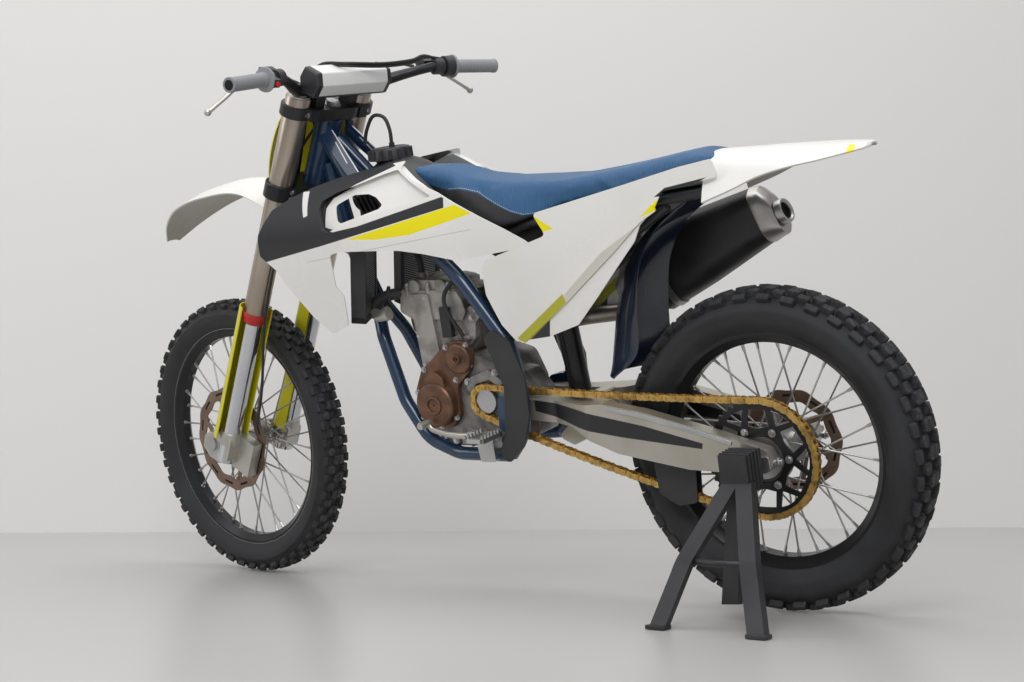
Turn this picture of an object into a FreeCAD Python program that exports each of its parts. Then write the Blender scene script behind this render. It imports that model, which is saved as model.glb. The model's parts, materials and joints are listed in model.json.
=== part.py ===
import FreeCAD, Part
import math
import os

# An off-road motorcycle leaning on a three-legged stand that plugs into the rear axle.
# It is modelled upright with straight steering, x forward, y left, z up, and x = 0 at the
# rear axle. At the end it is steered, leaned onto the stand and centred on the floor.

# Running gear
wheelbase = 1485.0
rear_axle_height = 341.0
front_axle_height = 346.0
steer_rest = -9.24
lean_rest = 13.26

# Steering head
rake = 26.1
trail = 110.0
head_tube_low = 1072.0
head_tube_high = 1236.0
head_tube_radius = 31.0
clamp_gap = 1.0
lower_clamp_thick = 36.0
upper_clamp_thick = 28.0
stem_radius = 15.0

# Fork
fork_offset = 16.0
fork_spread = 92.0
fork_outer_radius = 29.0
fork_inner_radius = 24.0
fork_outer_low = 735.0
fork_top = 1284.0
fork_lug_low = 330.0
front_axle_half = 116.0
front_axle_radius = 13.0
front_axle_bore = 9.5
front_hub_half = 64.0
rear_axle_radius = 12.5
rear_axle_bore = 8.5
rear_bore_depth = 200.0
axle_end_y = 134.0
rear_hub_half = 78.0

# Tyres and rims, out to the tips of the lugs
front_tyre_radius = 344.0
front_tyre_half = 42.0
front_lug_depth = 12.0
front_bead_radius = 266.0
front_rim_outer = 272.0
front_rim_inner = 250.0
front_rim_half = 24.0
rear_tyre_radius = 342.0
rear_tyre_half = 53.0
rear_lug_depth = 16.0
rear_bead_radius = 241.0
rear_rim_outer = 250.0
rear_rim_inner = 226.0
rear_rim_half = 31.0
spoke_radius = 2.0
spoke_count = 36

# Brakes
front_disc_radius = 130.0
front_disc_y = 52.0
rear_disc_radius = 110.0
rear_disc_y = -68.0
disc_thick = 3.0

# Final drive
chain_pitch = 15.875
chain_y = 75.0
rear_teeth = 48
front_teeth = 13
countershaft_x = 668.0
countershaft_z = 457.0
chain_plate_height = 15.0
chain_plate_thick = 2.5
chain_inner_width = 6.5
sprocket_thick = 5.6

# Frame
spar_radius = 16.0
cradle_radius = 15.0
downtube_radius = 19.0
frame_half = 102.0
swingarm_pivot_x = 574.0
swingarm_pivot_z = 442.0
pivot_radius = 12.0

# Handlebar
bar_radius = 14.3
bar_end_radius = 11.1
bar_half = 400.0
bar_rise = 1375.0
bar_back = -100.0
bar_centre_rise = 1304.0
bar_centre_offset = 4.0
grip_radius = 16.5
grip_length = 122.0

# General clearances
fit_gap = 0.3
panel_thick = 2.5

rake_angle = math.radians(rake)
front_axle_x = wheelbase
steer_foot = FreeCAD.Vector(wheelbase + trail, 0, 0)
steer_up = FreeCAD.Vector(-math.sin(rake_angle), 0, math.cos(rake_angle))
steer_ahead = FreeCAD.Vector(math.cos(rake_angle), 0, math.sin(rake_angle))
across = FreeCAD.Vector(0, 1, 0)
rear_axle = FreeCAD.Vector(0, 0, rear_axle_height)
front_axle = FreeCAD.Vector(front_axle_x, 0, front_axle_height)
front_axle_rise = (front_axle - steer_foot).dot(steer_up)
front_axle_ahead = (front_axle - steer_foot).dot(steer_ahead)
rear_pitch_radius = chain_pitch / (2 * math.sin(math.pi / rear_teeth))
front_pitch_radius = chain_pitch / (2 * math.sin(math.pi / front_teeth))


def vec(x, y, z):
    return FreeCAD.Vector(x, y, z)


def steer_point(rise, ahead, y):
    """A point given along the steering axis, square to it and across."""
    return steer_foot + steer_up * rise + steer_ahead * ahead + across * y


def mirrored(shape):
    return shape.mirror(vec(0, 0, 0), across)


def both_sides(shape):
    return Part.makeCompound([shape, mirrored(shape)])


def joined(shapes):
    whole = shapes[0]
    if len(shapes) > 1:
        whole = whole.fuse(shapes[1:])
    return whole.removeSplitter()


def rounded_path(points, radius, closed=False):
    """Straight runs through the points, with a tangent arc at each turn."""
    count = len(points)
    corners = range(count) if closed else range(1, count - 1)
    entries = [point for point in points]
    exits = [point for point in points]
    arcs = [None] * count
    for index in corners:
        here = points[index]
        back = points[index - 1] - here
        ahead = points[(index + 1) % count] - here
        room = 0.46 * min(back.Length, ahead.Length)
        back.normalize()
        ahead.normalize()
        half = back.getAngle(ahead) / 2
        if half > math.radians(89.5):
            continue
        corner_radius = radius[index] if isinstance(radius, (list, tuple)) else radius
        if corner_radius <= 0:
            continue
        setback = min(corner_radius / math.tan(half), room)
        middle = back + ahead
        middle.normalize()
        arc_radius = setback * math.tan(half)
        top = here + middle * (setback / math.cos(half) - arc_radius)
        entries[index] = here + back * setback
        exits[index] = here + ahead * setback
        arcs[index] = Part.Arc(entries[index], top, exits[index]).toShape()
    edges = []
    for index in range(count):
        if arcs[index] is not None:
            edges.append(arcs[index])
        if index == count - 1 and not closed:
            break
        start = exits[index]
        end = entries[(index + 1) % count]
        if (end - start).Length > 1e-4:
            edges.append(Part.makeLine(start, end))
    return Part.Wire(edges)


def circle_wire(centre, direction, radius):
    return Part.Wire(Part.makeCircle(radius, centre, direction))


def tube(points, radius, bend):
    """A round bar along a rounded path."""
    path = rounded_path(points, bend)
    profile = circle_wire(points[0], points[1] - points[0], radius)
    return path.makePipeShell([profile], True, False)


def rod(start, end, radius):
    line = end - start
    return Part.makeCylinder(radius, line.Length, start, line)


def tapered_rod(start, end, start_radius, end_radius):
    line = end - start
    return Part.makeCone(start_radius, end_radius, line.Length, start, line)


def plate(outline, y_low, y_high, bend=0.0):
    """A flat plate from an outline of (x, z) points, between two values of y."""
    points = [vec(x, y_low, z) for x, z in outline]
    wire = rounded_path(points, bend, True)
    return Part.Face(wire).extrude(vec(0, y_high - y_low, 0))


def loop(points):
    """A smooth closed curve through the points."""
    curve = Part.BSplineCurve()
    curve.interpolate(points, PeriodicFlag=True)
    return Part.Wire(curve.toShape())


def lofted(sections):
    return Part.makeLoft(sections, True, False)


def turned(profile, centre, axis=across):
    """A solid of revolution from (y, radius) points about an axis across the bike."""
    points = [centre + vec(0, y, radius) for y, radius in profile]
    face = Part.Face(Part.makePolygon(points + [points[0]]))
    return face.revolve(centre, axis, 360)


def spline_face(grid):
    surface = Part.BSplineSurface()
    surface.interpolate(grid)
    return surface


def skin(outer, inner):
    """A curved panel between two grids of points of the same size."""
    faces = [spline_face(outer), spline_face(inner)]
    shapes = [face.toShape() for face in faces]
    ends = []
    for surface in faces:
        low_u, high_u, low_v, high_v = surface.bounds()
        ends.append([surface.uIso(low_u).toShape(), surface.uIso(high_u).toShape(),
                     surface.vIso(low_v).toShape(), surface.vIso(high_v).toShape()])
    for outer_edge, inner_edge in zip(ends[0], ends[1]):
        shapes.append(Part.makeRuledSurface(outer_edge, inner_edge))
    shell = Part.makeShell(shapes)
    shell.sewShape()
    solid = Part.makeSolid(Part.Shell(shell.Faces))
    if solid.Volume < 0:
        solid.reverse()
    return solid


def side_skin(lateral, x_range, z_range, thick, steps=7):
    """A panel whose outer face is y = lateral(x, z), over a rectangle in x and z."""
    outer = []
    inner = []
    for row in range(steps):
        x = x_range[0] + (x_range[1] - x_range[0]) * row / (steps - 1)
        outer_row = []
        inner_row = []
        for column in range(steps):
            z = z_range[0] + (z_range[1] - z_range[0]) * column / (steps - 1)
            y = lateral(x, z)
            outer_row.append(vec(x, y, z))
            inner_row.append(vec(x, y - thick, z))
        outer.append(outer_row)
        inner.append(inner_row)
    return skin(outer, inner)


def side_panel(outline, lateral, thick, bend, steps=7):
    """The part of a curved side skin that lies inside an outline of (x, z) points."""
    xs = [x for x, z in outline]
    zs = [z for x, z in outline]
    margin = 10.0
    x_range = (min(xs) - margin, max(xs) + margin)
    z_range = (min(zs) - margin, max(zs) + margin)
    body = side_skin(lateral, x_range, z_range, thick, steps)
    return body.common(plate(outline, -50.0, 500.0, bend))


# Frame

def head_core():
    return rod(steer_point(head_tube_low, 0, 0), steer_point(head_tube_high, 0, 0), head_tube_radius)


def head_tube():
    low = steer_point(head_tube_low, 0, 0)
    high = steer_point(head_tube_high, 0, 0)
    return head_core().cut(rod(low, high, stem_radius + fit_gap))


def spar():
    """The left main tube, from the head down to the swingarm pivot and the cradle."""
    start = steer_point(head_tube_high - 45, -10, 17)
    points = [start, vec(960, 48, 925), vec(800, 76, 848), vec(668, frame_half, 735),
              vec(566, frame_half, 590), vec(548, frame_half, 480), vec(560, frame_half, 390),
              vec(600, frame_half, 345)]
    bar = tube(points, spar_radius, 120)
    lug = plate([(556, 400), (612, 400), (606, 476), (562, 484)], frame_half - spar_radius + 1,
                frame_half + spar_radius - 1, 12)
    return bar.fuse(lug)


def down_tube():
    start = steer_point(head_tube_low + 58, -28, 0)
    points = [start, vec(1040, 0, 800), vec(985, 0, 660)]
    return tube(points, downtube_radius, 150)


def cradle():
    """The left tube under the engine."""
    points = [vec(988, 10, 672), vec(958, 42, 600), vec(905, 62, 455), vec(846, 70, 368),
              vec(760, 76, 337), vec(604, frame_half, 343)]
    return tube(points, cradle_radius, 90)


def subframe():
    """The left rails behind the seat mount."""
    upper = tube([vec(640, 62, 800), vec(480, 72, 846), vec(60, 66, 884)], 11, 80)
    lower = tube([vec(566, frame_half - 6, 600), vec(420, 80, 700), vec(150, 66, 862)], 10, 80)
    return upper.fuse(lower)


def frame_guard():
    """The left black cover on the lower spar."""
    outline = [(592, 628), (616, 606), (580, 500), (594, 392), (618, 352), (590, 334),
               (548, 368), (524, 440), (522, 520), (548, 600)]
    face = frame_half + spar_radius + fit_gap
    return plate(outline, face, face + 4, 14)


# Engine

def engine_cases():
    outline = [(562, 352), (792, 352), (852, 402), (860, 470), (812, 540), (700, 560),
               (606, 520), (590, 430)]
    return plate(outline, -95, 66, 26)


def cylinder():
    lean = 11.0
    base = vec(756, -6, 540)
    barrel = Part.makeBox(128, 122, 96, vec(-64, -61, 0))
    fins = Part.makeBox(150, 134, 60, vec(-72, -67, 96))
    cover = Part.makeBox(132, 112, 30, vec(-66, -56, 156))
    whole = barrel.fuse([fins, cover])
    whole.rotate(vec(0, 0, 0), across, lean)
    whole.translate(base)
    return whole


def ignition_cover():
    disc = Part.makeCylinder(64, 38, vec(790, 66, 452), across)
    disc = disc.fuse(Part.makeCylinder(46, 46, vec(790, 66, 452), across))
    upper = Part.makeCylinder(32, 26, vec(716, 66, 520), across)
    return disc.fuse(upper)


def clutch_cover():
    disc = Part.makeCylinder(72, 34, vec(706, -129, 452), across)
    lower = Part.makeCylinder(44, 26, vec(806, -121, 430), across)
    return disc.fuse(lower)


def front_sprocket():
    centre = vec(countershaft_x, chain_y - sprocket_thick / 2, countershaft_z)
    disc = Part.makeCylinder(front_pitch_radius - 6, sprocket_thick, centre, across)
    shaft = Part.makeCylinder(14, 12, vec(countershaft_x, 66, countershaft_z), across)
    return disc.fuse(shaft)


def exhaust_header():
    points = [vec(838, -20, 652), vec(906, -28, 640), vec(926, -60, 592), vec(880, -104, 548),
              vec(740, -104, 572), vec(640, -70, 598), vec(540, -58, 606), vec(470, -84, 611),
              silencer_front]
    return tube(points, 19, 45)


def intake():
    return tube([vec(700, -6, 640), vec(640, -6, 668), vec(560, 0, 720)], 28, 60)


silencer_front = vec(398, -120, 612)
silencer_back = vec(6, -138, 802)
silencer_height = 56.0
silencer_width = 46.0


def oval(centre, direction, half_width, half_height):
    """A closed oval square to a direction that lies nearly along the bike."""
    ahead = vec(direction.x, direction.y, direction.z)
    ahead.normalize()
    side = across - ahead * across.dot(ahead)
    side.normalize()
    up = ahead.cross(side)
    points = []
    count = 16
    for index in range(count):
        turn = 2 * math.pi * index / count
        points.append(centre + side * (half_width * math.cos(turn)) + up * (half_height * math.sin(turn)))
    return loop(points)


def silencer():
    line = silencer_back - silencer_front
    sections = []
    for share, size in ((0.0, 0.42), (0.12, 0.62), (0.3, 0.93), (0.42, 1.0), (0.86, 1.0)):
        sections.append(oval(silencer_front + line * share, line, silencer_width * size,
                             silencer_height * size))
    return lofted(sections)


def silencer_cap():
    line = silencer_back - silencer_front
    sections = []
    for share, size in ((0.86, 1.0), (0.95, 0.98), (1.0, 0.7)):
        sections.append(oval(silencer_front + line * share, line, silencer_width * size,
                             silencer_height * size))
    cap = lofted(sections)
    return cap.cut(rod(silencer_front + line * 0.9, silencer_front + line * 1.02, 20))


def radiator():
    core = Part.makeBox(30, 96, 238, vec(-15, 0, -119))
    core.rotate(vec(0, 0, 0), vec(0, 0, 1), 24)
    core.rotate(vec(0, 0, 0), across, -10)
    core.translate(vec(952, 54, 752))
    bracket = plate([(950, 700), (1016, 716), (1012, 732), (946, 716)], 4, 58)
    return core.fuse(bracket)


# Bodywork

def shroud_side(x, z):
    """How far out the left shroud stands, widest at its front by the fork."""
    forward = (x - 440.0) / 660.0
    height = (z - 830.0) / 200.0
    return 122 + 128 * max(forward, -0.1) ** 1.25 if forward > 0 else 122 - 20 * height ** 2


def shroud():
    outline = [(800, 990), (875, 987), (977, 957), (1078, 905), (1102, 862), (1061, 792),
               (952, 640), (915, 656), (908, 800), (880, 822), (714, 812), (585, 786),
               (448, 806), (521, 850), (611, 884), (690, 930), (740, 965)]

    def lateral(x, z):
        forward = min(max((x - 440.0) / 660.0, 0.0), 1.1)
        height = (z - 820.0) / 170.0
        return 124 + 124 * forward ** 1.6 - 14 * height ** 2

    body = side_panel(outline, lateral, 3.0, 14, 9)
    window = plate([(905, 898), (860, 940), (800, 925), (780, 880), (888, 868)], 50, 400, 16)
    boss = Part.makeCylinder(9, 90, vec(740, 70, 905), across)
    boss = boss.cut(plate([(600, 700), (900, 700), (900, 1100), (600, 1100)], 154, 400))
    return body.cut(window).fuse(boss)


def fuel_tank():
    rows = ((985, 44, 885, 958), (915, 56, 864, 1000), (850, 100, 800, 1004),
            (780, 94, 800, 975), (700, 70, 830, 930))
    sections = []
    for x, half, low, high in rows:
        middle = (low + high) / 2
        tall = (high - low) / 2
        points = []
        for index in range(12):
            turn = 2 * math.pi * index / 12
            points.append(vec(x, half * math.cos(turn), middle + tall * math.sin(turn)))
        sections.append(loop(points))
    return lofted(sections)


def tank_cap():
    base = vec(888, 0, 1001)
    cap = Part.makeCylinder(39, 24, base, vec(0.1, 0, 1))
    return cap


def seat():
    rows = ((812, 50, 962, 988), (740, 62, 925, 973), (640, 74, 898, 944), (500, 84, 880, 930),
            (380, 88, 890, 926), (250, 86, 902, 939), (130, 78, 918, 955), (34, 62, 938, 961))
    sections = []
    for x, half, low, high in rows:
        round_off = 0.32 * (high - low)
        points = [vec(x, -half, low), vec(x, -half, high - round_off), vec(x, -half * 0.82, high),
                  vec(x, half * 0.82, high), vec(x, half, high - round_off), vec(x, half, low)]
        sections.append(Part.makePolygon(points + [points[0]]))
    return Part.makeLoft(sections, True, True)


def side_cover():
    outline = [(584, 776), (592, 740), (585, 668), (529, 600), (438, 609), (321, 676),
               (256, 746), (204, 790), (150, 855), (100, 893), (40, 925), (30, 948), (160, 915),
               (264, 900), (342, 890), (430, 868), (470, 800)]

    def lateral(x, z):
        back = min(max((584 - x) / 550.0, 0.0), 1.0)
        height = (z - 780.0) / 180.0
        return 128 - 26 * back - 10 * height ** 2

    boss = Part.makeCylinder(8, 40, vec(420, 76, 850), across)
    return side_panel(outline, lateral, 2.5, 16).fuse(boss)


def rear_fender():
    stations = [(60, 76, 940, 34), (-20, 96, 958, 44), (-120, 94, 966, 34), (-210, 80, 962, 20),
                (-284, 50, 950, 8)]
    outer = []
    inner = []
    for x, half, crown, drop in stations:
        outer_row = []
        inner_row = []
        for index in range(7):
            share = -1 + index / 3.0
            y = half * share
            z = crown - drop * abs(share) ** 3
            outer_row.append(vec(x, y, z))
            inner_row.append(vec(x, y * 0.97, z - 3))
        outer.append(outer_row)
        inner.append(inner_row)
    return skin(outer, inner)


def inner_guard():
    """The dark guard between the rear wheel and the shock."""
    outer = []
    inner = []
    for x, z in ((120, 868), (240, 810), (330, 720), (376, 620), (392, 520)):
        outer_row = []
        inner_row = []
        for index in range(5):
            share = -1 + index / 2.0
            outer_row.append(vec(x + 14 * (1 - share ** 2), 66 * share, z))
            inner_row.append(vec(x + 14 * (1 - share ** 2) - 3, 66 * share, z - 2))
        outer.append(outer_row)
        inner.append(inner_row)
    return skin(outer, inner)


def airbox():
    outline = [(420, 720), (560, 690), (600, 790), (560, 860), (300, 880), (180, 868), (300, 812)]
    return plate(outline, -60, 60, 20)


# Rear suspension

swingarm_inside = 87.0
swingarm_outside = 118.0


def swingarm_side():
    """The left arm, which stands outside the chain at the wheel and inside it at the pivot."""
    outline = [(602, 460), (560, 463), (400, 459), (340, 462), (249, 447), (109, 411), (-34, 370),
               (-48, 341), (-30, 322), (60, 322), (146, 326), (313, 356), (385, 384), (430, 408),
               (548, 418), (602, 422)]
    plan = [(-60, swingarm_inside), (320, swingarm_inside), (385, 42), (602, 42), (602, 84),
            (480, 84), (380, swingarm_outside), (-60, swingarm_outside)]
    points = [vec(x, y, 0) for x, y in plan]
    footprint = Part.Face(rounded_path(points, 30, True)).extrude(vec(0, 0, 800))
    return plate(outline, 0, 200, 12).common(footprint)


def swingarm():
    left = swingarm_side()
    bridge = plate([(404, 462), (440, 462), (452, 420), (420, 414)], -50, 50, 8)
    arms = joined([left, mirrored(left), bridge])
    return arms.cut(Part.makeCylinder(pivot_radius + fit_gap, 400,
                                      vec(swingarm_pivot_x, -200, swingarm_pivot_z), across))


def pivot_bolt():
    half = frame_half + spar_radius
    return Part.makeCylinder(pivot_radius, 2 * half, vec(swingarm_pivot_x, -half, swingarm_pivot_z),
                             across)


def rear_shock():
    return rod(vec(462, 0, 430), vec(484, 0, 676), 24)


def linkage():
    return plate([(398, 425), (452, 425), (520, 366), (480, 348), (416, 378)], -30, 30, 10)


def rear_axle_core():
    start = vec(0, -axle_end_y, rear_axle_height)
    return Part.makeCylinder(rear_axle_radius, 2 * axle_end_y, start, across)


def rear_axle_bar():
    start = vec(0, -axle_end_y, rear_axle_height)
    return rear_axle_core().cut(Part.makeCylinder(rear_axle_bore, rear_bore_depth, start, across))


def chain_guide():
    block = plate([(250, 338), (150, 338), (156, 246), (200, 238), (244, 262)], chain_y - 12,
                  swingarm_inside, 8)
    return block.cut(Part.Face(drive_path(14)).extrude(vec(0, 19, 0)).translated(vec(0, chain_y - 9.5, 0)))


# Drive

def drive_path(radius_shift):
    """The closed outline round both sprockets, at a distance from the pitch line."""
    back = vec(0, 0, rear_axle_height)
    front = vec(countershaft_x, 0, countershaft_z)
    back_radius = rear_pitch_radius + radius_shift
    front_radius = front_pitch_radius + radius_shift
    line = front - back
    slope = math.atan2(line.z, line.x)
    spread = math.acos((back_radius - front_radius) / line.Length)

    def at(centre, radius, turn):
        return centre + vec(math.cos(turn), 0, math.sin(turn)) * radius

    top = slope + spread
    bottom = slope - spread
    back_top = at(back, back_radius, top)
    back_bottom = at(back, back_radius, bottom)
    front_top = at(front, front_radius, top)
    front_bottom = at(front, front_radius, bottom)
    edges = [Part.makeLine(back_top, front_top),
             Part.Arc(front_top, at(front, front_radius, slope), front_bottom).toShape(),
             Part.makeLine(front_bottom, back_bottom),
             Part.Arc(back_bottom, at(back, back_radius, slope + math.pi), back_top).toShape()]
    return Part.Wire(edges)


def chain():
    half_height = chain_plate_height / 2
    outer = Part.Face(drive_path(half_height))
    ring = outer.cut(Part.Face(drive_path(-half_height)))
    bands = []
    for side in (-1, 1):
        start = side * chain_inner_width / 2
        band = ring.extrude(vec(0, side * chain_plate_thick, 0))
        band.translate(vec(0, chain_y + start, 0))
        bands.append(band)
    return Part.makeCompound(bands)


def rear_sprocket():
    start = vec(0, chain_y - sprocket_thick / 2, rear_axle_height)
    disc = Part.makeCylinder(rear_pitch_radius + 4, sprocket_thick, start, across)
    return disc.cut(Part.makeCylinder(rear_pitch_radius - 28, sprocket_thick, start, across)).fuse(
        sprocket_arms(start))


def sprocket_arms(start):
    arms = []
    for index in range(6):
        arm = Part.makeBox(rear_pitch_radius - 55, sprocket_thick, 16,
                           vec(30, chain_y - sprocket_thick / 2, rear_axle_height - 8))
        arm.rotate(rear_axle, across, 60.0 * index)
        arms.append(arm)
    ring = Part.makeCylinder(46, sprocket_thick, start, across)
    ring = ring.cut(Part.makeCylinder(30, sprocket_thick, start, across))
    return ring.fuse(arms)


# Wheels

def tyre(centre, outer, half, bead, rim_half):
    """A tyre out to its lug tips, as one closed ring."""
    profile = [(-rim_half, bead), (-half * 0.98, bead + 0.45 * (outer - bead)), (-half, outer - 26),
               (-half * 0.86, outer - 14), (-half * 0.4, outer - 2), (half * 0.4, outer - 2),
               (half * 0.86, outer - 14), (half, outer - 26),
               (half * 0.98, bead + 0.45 * (outer - bead)), (rim_half, bead)]
    return turned(profile, centre)


def rim(centre, outer, inner, half):
    profile = [(-half, outer), (-half, outer - 8), (-half * 0.45, inner), (half * 0.45, inner),
               (half, outer - 8), (half, outer), (half - 3, outer), (half - 3, outer - 6),
               (-half + 3, outer - 6), (-half + 3, outer)]
    return turned(profile, centre)


def spokes(centre, hub_radius, hub_y, rim_radius):
    """Straight spokes, alternately from the two hub flanges, crossing on each side."""
    bars = []
    for index in range(spoke_count):
        side = 1 if index % 2 == 0 else -1
        lead = 1 if (index // 2) % 2 == 0 else -1
        rim_turn = 2 * math.pi * (index + 0.5) / spoke_count
        hub_turn = rim_turn + lead * math.radians(58)
        inner = centre + vec(hub_radius * math.cos(hub_turn), side * hub_y, hub_radius * math.sin(hub_turn))
        outer = centre + vec(rim_radius * math.cos(rim_turn), side * 5, rim_radius * math.sin(rim_turn))
        bars.append(rod(inner, outer, spoke_radius))
    return bars


def wheel(centre, rim_sizes, hub_profile, hub_radius, hub_y, bore):
    outer, inner, half = rim_sizes
    hub = turned(hub_profile, centre)
    bars = spokes(centre, hub_radius, hub_y, inner + 3)
    whole = rim(centre, outer, inner, half).fuse([hub] + bars)
    return whole


def front_wheel():
    end = front_hub_half
    bore = front_axle_radius + 0.5
    profile = [(-end, bore), (-end, 24), (-end + 14, 26), (-end + 18, 36), (-end + 24, 36),
               (-end + 28, 22), (28, 22), (34, 34), (40, 34), (43, 58),
               (front_disc_y - disc_thick / 2, 58), (front_disc_y - disc_thick / 2, 26), (end, 24), (end, bore)]
    return wheel(front_axle, (front_rim_outer, front_rim_inner, front_rim_half), profile, 31, 41, bore)


def rear_wheel():
    end = rear_hub_half
    bore = rear_axle_radius + 0.5
    profile = [(-end, bore), (-end, 26), (-70, 30), (rear_disc_y + disc_thick / 2, 30),
               (rear_disc_y + disc_thick / 2, 40), (-60, 40), (-52, 44), (-44, 44), (-40, 30), (40, 30),
               (44, 58), (56, 60), (chain_y - sprocket_thick / 2 - fit_gap, 44),
               (chain_y - sprocket_thick / 2 - fit_gap, bore)]
    return wheel(rear_axle, (rear_rim_outer, rear_rim_inner, rear_rim_half), profile, 40, 47, bore)


def disc(centre, y, radius):
    start = centre + vec(0, y - disc_thick / 2, 0)
    ring = Part.makeCylinder(radius, disc_thick, start, across)
    return ring.cut(Part.makeCylinder(radius - 76, disc_thick, start, across))


# Steering

def lower_clamp():
    start = head_tube_low - clamp_gap - lower_clamp_thick
    middle = rod(steer_point(start, 0, 0), steer_point(start + lower_clamp_thick, 0, 0), 30)
    pieces = [middle]
    for side in (-1, 1):
        low = steer_point(start, fork_offset, side * fork_spread)
        high = steer_point(start + lower_clamp_thick, fork_offset, side * fork_spread)
        pieces.append(rod(low, high, fork_outer_radius + 9))
    web = Part.makeBox(34, 2 * fork_spread - 30, lower_clamp_thick)
    web.translate(vec(fork_offset - 22, -fork_spread + 15, start))
    pieces.append(to_steering(web))
    stem = rod(steer_point(start, 0, 0), steer_point(head_tube_high + clamp_gap, 0, 0), stem_radius)
    pieces.append(stem)
    return joined(pieces)


def to_steering(shape):
    """Moves a shape drawn with x ahead, y across and z along the steering axis."""
    copy = shape.copy()
    copy.rotate(vec(0, 0, 0), across, -rake)
    copy.translate(steer_foot)
    return copy


def upper_clamp():
    start = head_tube_high + clamp_gap
    middle = rod(steer_point(start, 0, 0), steer_point(start + upper_clamp_thick, 0, 0), 30)
    pieces = [middle]
    for side in (-1, 1):
        low = steer_point(start, fork_offset, side * fork_spread)
        high = steer_point(start + upper_clamp_thick, fork_offset, side * fork_spread)
        pieces.append(rod(low, high, fork_outer_radius + 8))
        mount = Part.makeBox(34, 26, bar_centre_rise - start)
        mount.translate(vec(bar_centre_offset - 17, side * 48 - 13, start))
        pieces.append(to_steering(mount))
    web = Part.makeBox(32, 2 * fork_spread - 30, upper_clamp_thick)
    web.translate(vec(fork_offset - 20, -fork_spread + 15, start))
    pieces.append(to_steering(web))
    return joined(pieces)


def fork_outer():
    low = steer_point(fork_outer_low, fork_offset, fork_spread)
    high = steer_point(fork_top, fork_offset, fork_spread)
    return rod(low, high, fork_outer_radius)


def fork_inner():
    low = steer_point(fork_lug_low, fork_offset, fork_spread)
    high = steer_point(fork_outer_low - fit_gap, fork_offset, fork_spread)
    lug = Part.makeBox(front_axle_ahead - fork_offset + 20, 40, 52)
    lug.translate(vec(fork_offset, fork_spread - 20, front_axle_rise - 26))
    return rod(low, high, fork_inner_radius).fuse(to_steering(lug))


def front_axle_core():
    start = front_axle - across * front_axle_half
    return Part.makeCylinder(front_axle_radius, 2 * front_axle_half, start, across)


def front_axle_bar():
    start = front_axle - across * front_axle_half
    return front_axle_core().cut(Part.makeCylinder(front_axle_bore, 2 * front_axle_half, start, across))


def fork_guard():
    low = steer_point(fork_lug_low + 20, fork_offset, fork_spread)
    high = steer_point(fork_outer_low + 8, fork_offset, fork_spread)
    shell = rod(low, high, fork_outer_radius + 6).cut(rod(low, high, fork_outer_radius + 3))
    keep = Part.makeBox(60, 80, 600)
    keep.translate(vec(fork_offset + 4, fork_spread - 12, fork_lug_low))
    return shell.common(to_steering(keep))


def handlebar():
    points = [steer_point(bar_rise, bar_back, bar_half),
              steer_point(bar_rise - 6, bar_back + 34, 235),
              steer_point(bar_centre_rise, bar_centre_offset, 110),
              steer_point(bar_centre_rise, bar_centre_offset, -110),
              steer_point(bar_rise - 6, bar_back + 34, -235),
              steer_point(bar_rise, bar_back, -bar_half)]
    return tube(points, bar_end_radius, 60)


def grip():
    outer = steer_point(bar_rise, bar_back, bar_half)
    inner = steer_point(bar_rise - 6, bar_back + 34, 235)
    line = inner - outer
    line.normalize()
    end = outer + line * grip_length
    body = rod(outer, end, grip_radius).fuse(rod(end, end + line * 8, 27))
    return body.cut(rod(outer - line, end + line * 20, bar_end_radius + fit_gap))


def bar_pad():
    points = []
    for turn in range(6):
        angle = math.radians(60 * turn + 30)
        points.append(steer_point(1335 + 30 * math.sin(angle), -30 + 30 * math.cos(angle), -115))
    face = Part.Face(Part.makePolygon(points + [points[0]]))
    return face.extrude(across * 230)


def clutch_lever():
    perch = rod(steer_point(1369, -66, 247), steer_point(1369, -66, 227), 20)
    arm = tube([steer_point(1368, -60, 237), steer_point(1360, -22, 240), steer_point(1348, -12, 275),
                steer_point(1326, -18, 340), steer_point(1285, -46, 402)], 6, 20)
    return perch.fuse(arm)


def front_fender():
    stations = [(1720, 846, 26, 4), (1650, 898, 70, 12), (1564, 944, 94, 20), (1455, 975, 96, 26),
                (1316, 980, 84, 30), (1190, 905, 66, 30), (1090, 800, 60, 22)]
    outer = []
    inner = []
    for x, z, half, drop in stations:
        outer_row = []
        inner_row = []
        for index in range(7):
            share = -1 + index / 3.0
            height = z - drop * share ** 2
            outer_row.append(vec(x, half * share, height))
            inner_row.append(vec(x, half * share * 0.97, height - 3))
        outer.append(outer_row)
        inner.append(inner_row)
    return skin(outer, inner)


def number_plate():
    outer = []
    inner = []
    for rise, ahead, half in ((1009, 119, 52), (1060, 113, 68), (1100, 104, 82), (1170, 95, 90), (1240, 84, 80)):
        outer_row = []
        inner_row = []
        for index in range(5):
            share = -1 + index / 2.0
            outer_row.append(steer_point(rise, ahead - 22 * share ** 2, half * share))
            inner_row.append(steer_point(rise, ahead - 22 * share ** 2 - 3, half * share))
        outer.append(outer_row)
        inner.append(inner_row)
    return skin(outer, inner)


def front_caliper():
    block = Part.makeBox(76, 26, 88)
    block.translate(vec(-60, front_disc_y - 13 + 18, front_axle_rise - 40))
    return to_steering(block)


# Parking stand, drawn in the leaned frame with the floor at z = 0

stand_leg_width = 36.0
stand_leg_depth = 22.0
stand_inner_lift = 30.0


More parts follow.
